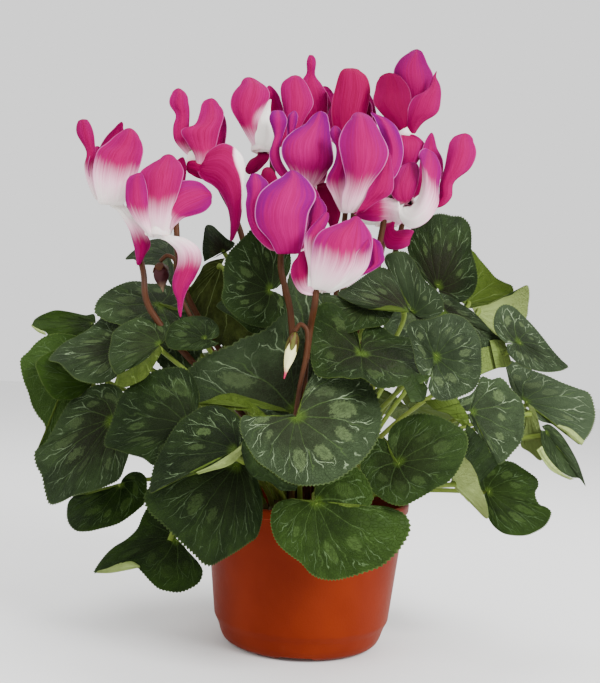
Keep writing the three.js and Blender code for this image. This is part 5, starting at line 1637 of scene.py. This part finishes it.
def shaped_petal(bloom, petal, out):
    """A petal's surface between two edges that are given in rows."""
    start = bloom["mouth"] + out * CLAW_START + UP * CLAW_RISE
    level = np.cross(UP, out) * CLAW_HALF
    rows = []
    for left_column, left_row, right_column, right_row, near, bulge in petal["rows"]:
        left = seen(left_column, left_row, near)
        right = seen(right_column, right_row, near)
        middle = seen((left_column + right_column) / 2, (left_row + right_row) / 2, near + bulge)
        rows.append((left, middle, right))
    if (rows[0][2] - rows[0][0]) @ level < 0:
        level = -level
    curves, share = smooth_curve(np.array([(start - level, start, start + level), *rows]), PETAL_ROWS)
    left, middle, right = (curves[:, k][:, None] for k in range(3))
    s = PETAL_ACROSS[None, :, None]
    return middle + (right - left) / 2 * s + ((left + right) / 2 - middle) * s * s, share


def free_petal(bloom, petal, out):
    """A petal's surface from its tip alone: it leaves the mouth outwards, turns back and twists."""
    start = bloom["mouth"] + out * CLAW_START + UP * CLAW_RISE
    first = start + out * CLAW_OUT - UP * CLAW_DROP
    second = petal["tip"] + (start - petal["tip"]) * BELLY_SHARE + out * PETAL_BELLY
    share = crowded(np.linspace(0, 0.998, PETAL_ROWS))
    spine = bezier(start, first, second, petal["tip"], share)
    tangent = bezier_slope(start, first, second, petal["tip"], share)
    level = np.cross(UP, out)
    side = level - tangent * (tangent @ level)[:, None]
    side /= np.linalg.norm(side, axis=1)[:, None]
    turn = (PETAL_TWIST * np.sqrt(share))[:, None]
    side = side * np.cos(turn) + np.cross(tangent, side) * np.sin(turn)
    normal = np.cross(side, tangent)
    half = CLAW_BREADTH + (1 - CLAW_BREADTH) * smooth((share - SPREAD_START) / SPREAD_RUN)
    half *= (1 - np.clip((share - ROUND_START) / (1 - ROUND_START), 0, 1) ** 1.9) ** 0.62
    reach = (petal["wide"] / 2 * half)[:, None, None]
    s = PETAL_ACROSS[None, :, None]
    inward = (reach * s) ** 2 / (2 * MOUTH_RADIUS) * (1 - smooth(share / 0.3))[:, None, None]
    lean = (PETAL_LEAN * petal["wide"] * share * np.sin(math.pi * share))[:, None, None]
    points = spine[:, None] + side[:, None] * (s * reach + lean)
    return points - normal[:, None] * PETAL_HOLLOW * reach * s * s - out * inward, share


def petal_part(bloom, petal, out):
    surface = shaped_petal if "rows" in petal else free_petal
    points, share = surface(bloom, petal, out)
    normal = np.cross(np.gradient(points, axis=1), np.gradient(points, axis=0))
    normal /= np.maximum(np.linalg.norm(normal, axis=2, keepdims=True), 1e-9)
    s = PETAL_ACROSS[None, :]
    t = share[:, None]
    phase = 2 * math.pi * petal["seed"]
    grown = smooth(t / 0.3) * (1 - smooth((t - 0.9) / 0.1))
    ruffle = (
        BROAD_RUFFLE * np.abs(s) ** 1.5 * np.sin(5 * t + 3 * s + phase)
        + FINE_RUFFLE * s * s * np.sin(14 * t - 5 * s + 2 * phase)
        + BASE_RIDGE * np.cos(9 * s + phase) * (1 - t * t)
    )
    whole, faces = solid_sheet(points + normal * (ruffle * grown)[..., None], PETAL_THICKNESS)
    halfway = smooth((t - 0.3) / 0.2) * (1 - smooth((t - 0.75) / 0.2))
    white = petal["white"] + petal["pale_side"] * s * halfway
    place = triples(t, s, petal["seed"])
    # The tone holds how white and how lilac the petal is, and deep, its painted shade.
    tone = triples(white, petal["purple"], petal["deep"])
    return shell(whole, faces, petal_place=np.tile(place, (2, 1)), petal_tone=np.tile(tone, (2, 1)))


def cup_part(bloom):
    """The cup of five lobes, and its hollow, which is told apart by the attribute's first number."""
    ridge = math.radians(bloom["turn"])

    def lobes(turns, _):
        return 1 + CUP_RIDGE * np.cos(PETAL_COUNT * (turns - ridge))

    points, faces = spun([*CUP_INSIDE, *CUP_OUTSIDE], CUP_SIDES, lobes)
    inner = np.zeros(len(points))
    inner[: (len(CUP_INSIDE) - 1) * CUP_SIDES] = 1
    inner[-2] = 1
    place = triples(inner, points[:, 2] / CUP_HEIGHT, bloom["turn"] / 360)
    return shell(stood(points, bloom["mouth"], bloom["axis"]), faces, 1, cup_place=place)


def style_part(bloom):
    along = np.linspace(STYLE_TOP, STYLE_TIP, len(STYLE_RADII))
    points, faces = swept(bloom["mouth"] + np.outer(along, bloom["axis"]), STYLE_RADII, STYLE_SIDES)
    return shell(points, faces, 1, cup_place=np.tile(STYLE_TONE, (len(points), 1)))


def calyx_part(place, axis, turn):
    """Five sepals joined at the stalk, with their points lying back over what they hold."""
    profile = [(radius * CALYX_RADIUS, height * CALYX_HEIGHT) for radius, height in CALYX_SHAPE]

    def lobes(turns, number):
        point = np.abs(np.cos(0.5 * PETAL_COUNT * turns)) ** 1.3
        return 1 + (CALYX_POINT * point - CALYX_NOTCH) * (number < CALYX_POINTED_RINGS)

    points, faces = spun(profile, CALYX_SIDES, lobes)
    outer = np.hypot(points[:, 0], points[:, 1]) / CALYX_RADIUS
    points[:, 2] -= CALYX_DROOP * np.maximum(outer - 0.9, 0) * CALYX_HEIGHT
    points = points @ np.array([heading(turn), heading(turn + 90), UP])
    return shell(stood(points, place, axis), faces, stem_place=np.tile(CALYX_TONE, (len(points), 1)))


def stalk_path(plant, held_at, side, hook, axis=UP):
    """From the crown, past where the plant says, and over to what hangs at a place."""
    top = crown_point(plant["ring"], plant["azimuth"])
    lean = (held_at - top) * vector(1, 1, 0) * STALK_LEAN
    root = [top - UP * ROOT_DEPTH, top + UP * STALK_STRAIGHT, top + UP * STALK_RISE + lean]
    bend = [held_at + side * out + (axis if rise > CUP_HEIGHT else UP) * rise for out, rise in hook]
    return through([*root, *plant["via"], *bend], 8)


def petal_paint():
    paint = Shader("petal")
    share, across, seed = paint.attribute("petal_place")
    white, purple, deep = paint.attribute("petal_tone")
    streak = paint.noise(paint.join(share * 0.7, across * 5, seed * 31), 2.2, 4, 0.6)
    fine = paint.noise(paint.join(share * 1.1, across * 22, seed * 17), 2.4, 3, 0.6)
    edge = abs(across)
    front = share + (streak - 0.5) * 0.2 + (fine - 0.5) * 0.12 - edge * 0.04 - white
    pale = paint.ramp(front, -0.5, -0.12, (0.93, 0.89, 0.83), (0.88, 0.42, 0.58))
    tone = paint.step(fine * 0.65 + streak * 0.35, 0.38, 0.64)
    warm = paint.mix(tone, (0.235, 0.0, 0.045), (0.335, 0.0, 0.085))
    cool = paint.mix(tone, (0.31, 0.0, 0.12), (0.4, 0.0, 0.165))
    lilac = paint.step(edge * 0.55 + share * 0.6 + (streak - 0.5) * 0.7, 0.45, 0.95) * purple
    pink = paint.mix(purple * 0.5, warm, cool)
    pink = paint.mix(lilac, pink, (0.15, 0.0, 0.115))
    # Painted shade: deep darkens the pink of petals that lie in shadow.
    pink = paint.mix(deep * 0.85, pink, (0.13, 0.0, 0.025))
    base = paint.ramp(front, -0.26, 0.0, pale, pink)
    # The pale rim is the petal's own margin; it fades where deep paints shade.
    rim = paint.step(edge, 0.94, 0.99) * (purple * 0.6 + 0.2) * (1 - deep * 0.7)
    base = paint.mix(rim, base, (0.6, 0.16, 0.42))
    paint.set(base=base, roughness=0.5, specular=0.02)
    paint.relief(fine + streak * 0.5, 0.0003)
    return paint.material


def cup_paint():
    """Creamy outside, and dark red deep inside, with some light passing through."""
    paint = Shader("corolla_cup")
    inner, height, _ = paint.attribute("cup_place")
    flush = paint.noise(paint.place(), 260, 3)
    outside = paint.ramp(height + (flush - 0.5) * 0.5, 0.1, 0.8, (0.85, 0.7, 0.68), (0.84, 0.8, 0.7))
    inside = paint.ramp(height, 0.1, 0.5, (0.75, 0.55, 0.55), (0.05, 0.002, 0.01))
    base = paint.mix(inner, outside, inside)
    paint.set(base=base, roughness=0.5, specular=0.35, under_skin=0.15, under_skin_depth=0.002)
    paint.relief(flush, 0.0003)
    return paint.material


def make_blooms(petal_material, cup_material, stem_material):
    rng = np.random.default_rng(BLOOM_SEED)
    for name, row in BLOOMS.items():
        bloom = {**BLOOM, **row}
        parts = [cup_part(bloom), style_part(bloom)]
        for number, petal in enumerate(bloom["petals"]):
            out = heading(bloom["turn"] + PETAL_TURN * number)
            parts.append(petal_part(bloom, {**PETAL, **petal, "seed": rng.uniform()}, out))
        paints = [petal_material, cup_material]
        make_piece(name + "_corolla", parts, paints, name + "_petals", PETAL_CREASE)
        side = heading(bloom["turn"] + PETAL_TURN * (bloom["behind"] + 0.5))
        path = stalk_path(bloom, bloom["mouth"], side, BLOOM_HOOK, bloom["axis"])
        radii = tapered(STALK_RADIUS, STALK_TAPER, len(path))
        stalk = stem_part(path, radii, *STALK_RED, rng.uniform())
        base = bloom["mouth"] + bloom["axis"] * (CUP_HEIGHT - 0.2)
        calyx = calyx_part(base, bloom["axis"], bloom["turn"])
        make_piece(name + "_stem", [stalk, calyx], [stem_material], name + "_stalk")


# Buds: where the stalk ends and where the tip is, how thick the bud is, whether it is dark, how far
# its sepals reach, and how far its stalk's hook stands out.
BUDS = {
    "bud_front": dict(
        ring=STALK_RING, azimuth=-108, base=seen(295, 334, 70), tip=seen(284, 379, 72), radius=2.9,
        dark=0, sepals=9, hook=1, via=[around(-102, 48, 106), seen(299, 392, 68)]),
    "bud_left": dict(
        ring=STALK_RING, azimuth=-160, base=seen(160, 264, 14), tip=seen(163, 292, 16), radius=4.4,
        dark=1, sepals=5, hook=1.5, via=[seen(183, 302, 20)]),
}
BUD_FURLS = 2.2
BUD_FURL_DEPTH = 0.07
BUD_RINGS = 26
BUD_SIDES = 45
BUD_TIP_RADIUS = 0.25
SEPAL_THICKNESS = 0.35
SEPAL_RINGS = 9
SEPAL_SIDES = 60


def bud_radius(bud, share):
    swell = 0.45 + 0.7 * np.sin(math.pi * np.minimum(share * 1.15, 1))
    return bud["radius"] * swell * np.sqrt(1 - share**1.7)


def sepals_part(bud, axis, length):
    """Five sepals that lie close on a bud, from its stalk down to their points."""
    reach = bud["sepals"]
    heights = np.linspace(-0.6, reach, SEPAL_RINGS)
    radii = bud_radius(bud, np.maximum(heights, 0) / length) + SEPAL_THICKNESS
    radii[0] *= 0.7
    profile = [(0, -1), *zip(radii, heights), (radii[-1] - 2 * SEPAL_THICKNESS, reach), (0, reach - 0.3)]
    points, faces = spun(profile, SEPAL_SIDES)
    turns = np.arctan2(points[:, 1], points[:, 0])
    between = 1 - np.abs(np.cos(0.5 * PETAL_COUNT * turns)) ** 0.8
    points[:, 2] -= 0.6 * between * np.maximum(points[:, 2], 0)
    places = triples(0.5, 0.5 + 0.4 * np.maximum(between, bud["dark"]), 0.3)
    return shell(stood(points, bud["base"], axis), faces, stem_place=places)


def furled_part(bud, axis, length):
    """Petals furled to a point, with their edges winding round it."""
    steps = np.linspace(0, 1, BUD_RINGS)
    profile = [(0, 0), *zip(bud_radius(bud, steps), steps * length), (0, length)]
    profile[-2] = (BUD_TIP_RADIUS, length * 0.99)

    def furl(turns, number):
        share = number / BUD_RINGS
        depth = BUD_FURL_DEPTH * (0.2 + 0.8 * share)
        return 1 + depth * np.cos(PETAL_COUNT * (turns - BUD_FURLS * share))

    points, faces = spun(profile, BUD_SIDES, furl)
    places = triples(points[:, 2] / length, bud["dark"], 0)
    return shell(stood(points, bud["base"], axis), faces, bud_place=places)


def bud_paint():
    """Cream with a red tip, or dark with a dull one."""
    paint = Shader("furled_bud")
    share, dark, _ = paint.attribute("bud_place")
    flush = paint.noise(paint.place(), 320, 3)
    pale = paint.ramp(share + (flush - 0.5) * 0.2, 0.74, 0.9, (0.88, 0.84, 0.4), (0.5, 0.02, 0.09))
    dull = paint.ramp(share, 0.6, 0.95, (0.035, 0.007, 0.009), (0.2, 0.13, 0.08))
    paint.set(base=paint.mix(dark, pale, dull), roughness=0.45, specular=0.12)
    paint.relief(flush, 0.0003)
    return paint.material


def make_buds(bud_material, stem_material):
    for name, bud in BUDS.items():
        axis = bud["tip"] - bud["base"]
        length = np.linalg.norm(axis)
        axis = axis / length
        make_piece(name + "_petals", [furled_part(bud, axis, length)], [bud_material], name)
        path = stalk_path(bud, bud["base"], vector(bud["hook"], 0, 0), BUD_HOOK)
        radii = tapered(BUD_STALK_RADIUS, BUD_STALK_TAPER, len(path))
        stem = [stem_part(path, radii, *BUD_STALK_RED, 0.4), sepals_part(bud, axis, length)]
        make_piece(name + "_stem", stem, [stem_material], name + "_stalk")


def main():
    make_camera()
    make_stage()
    for name, light in LIGHTS.items():
        make_light(name, *light)
    make_pot()
    make_soil()
    make_tuber()
    stem_material = stem_paint()
    make_shoots(leaf_paint(), stem_material)
    make_blooms(petal_paint(), cup_paint(), stem_material)
    make_buds(bud_paint(), stem_material)


main()
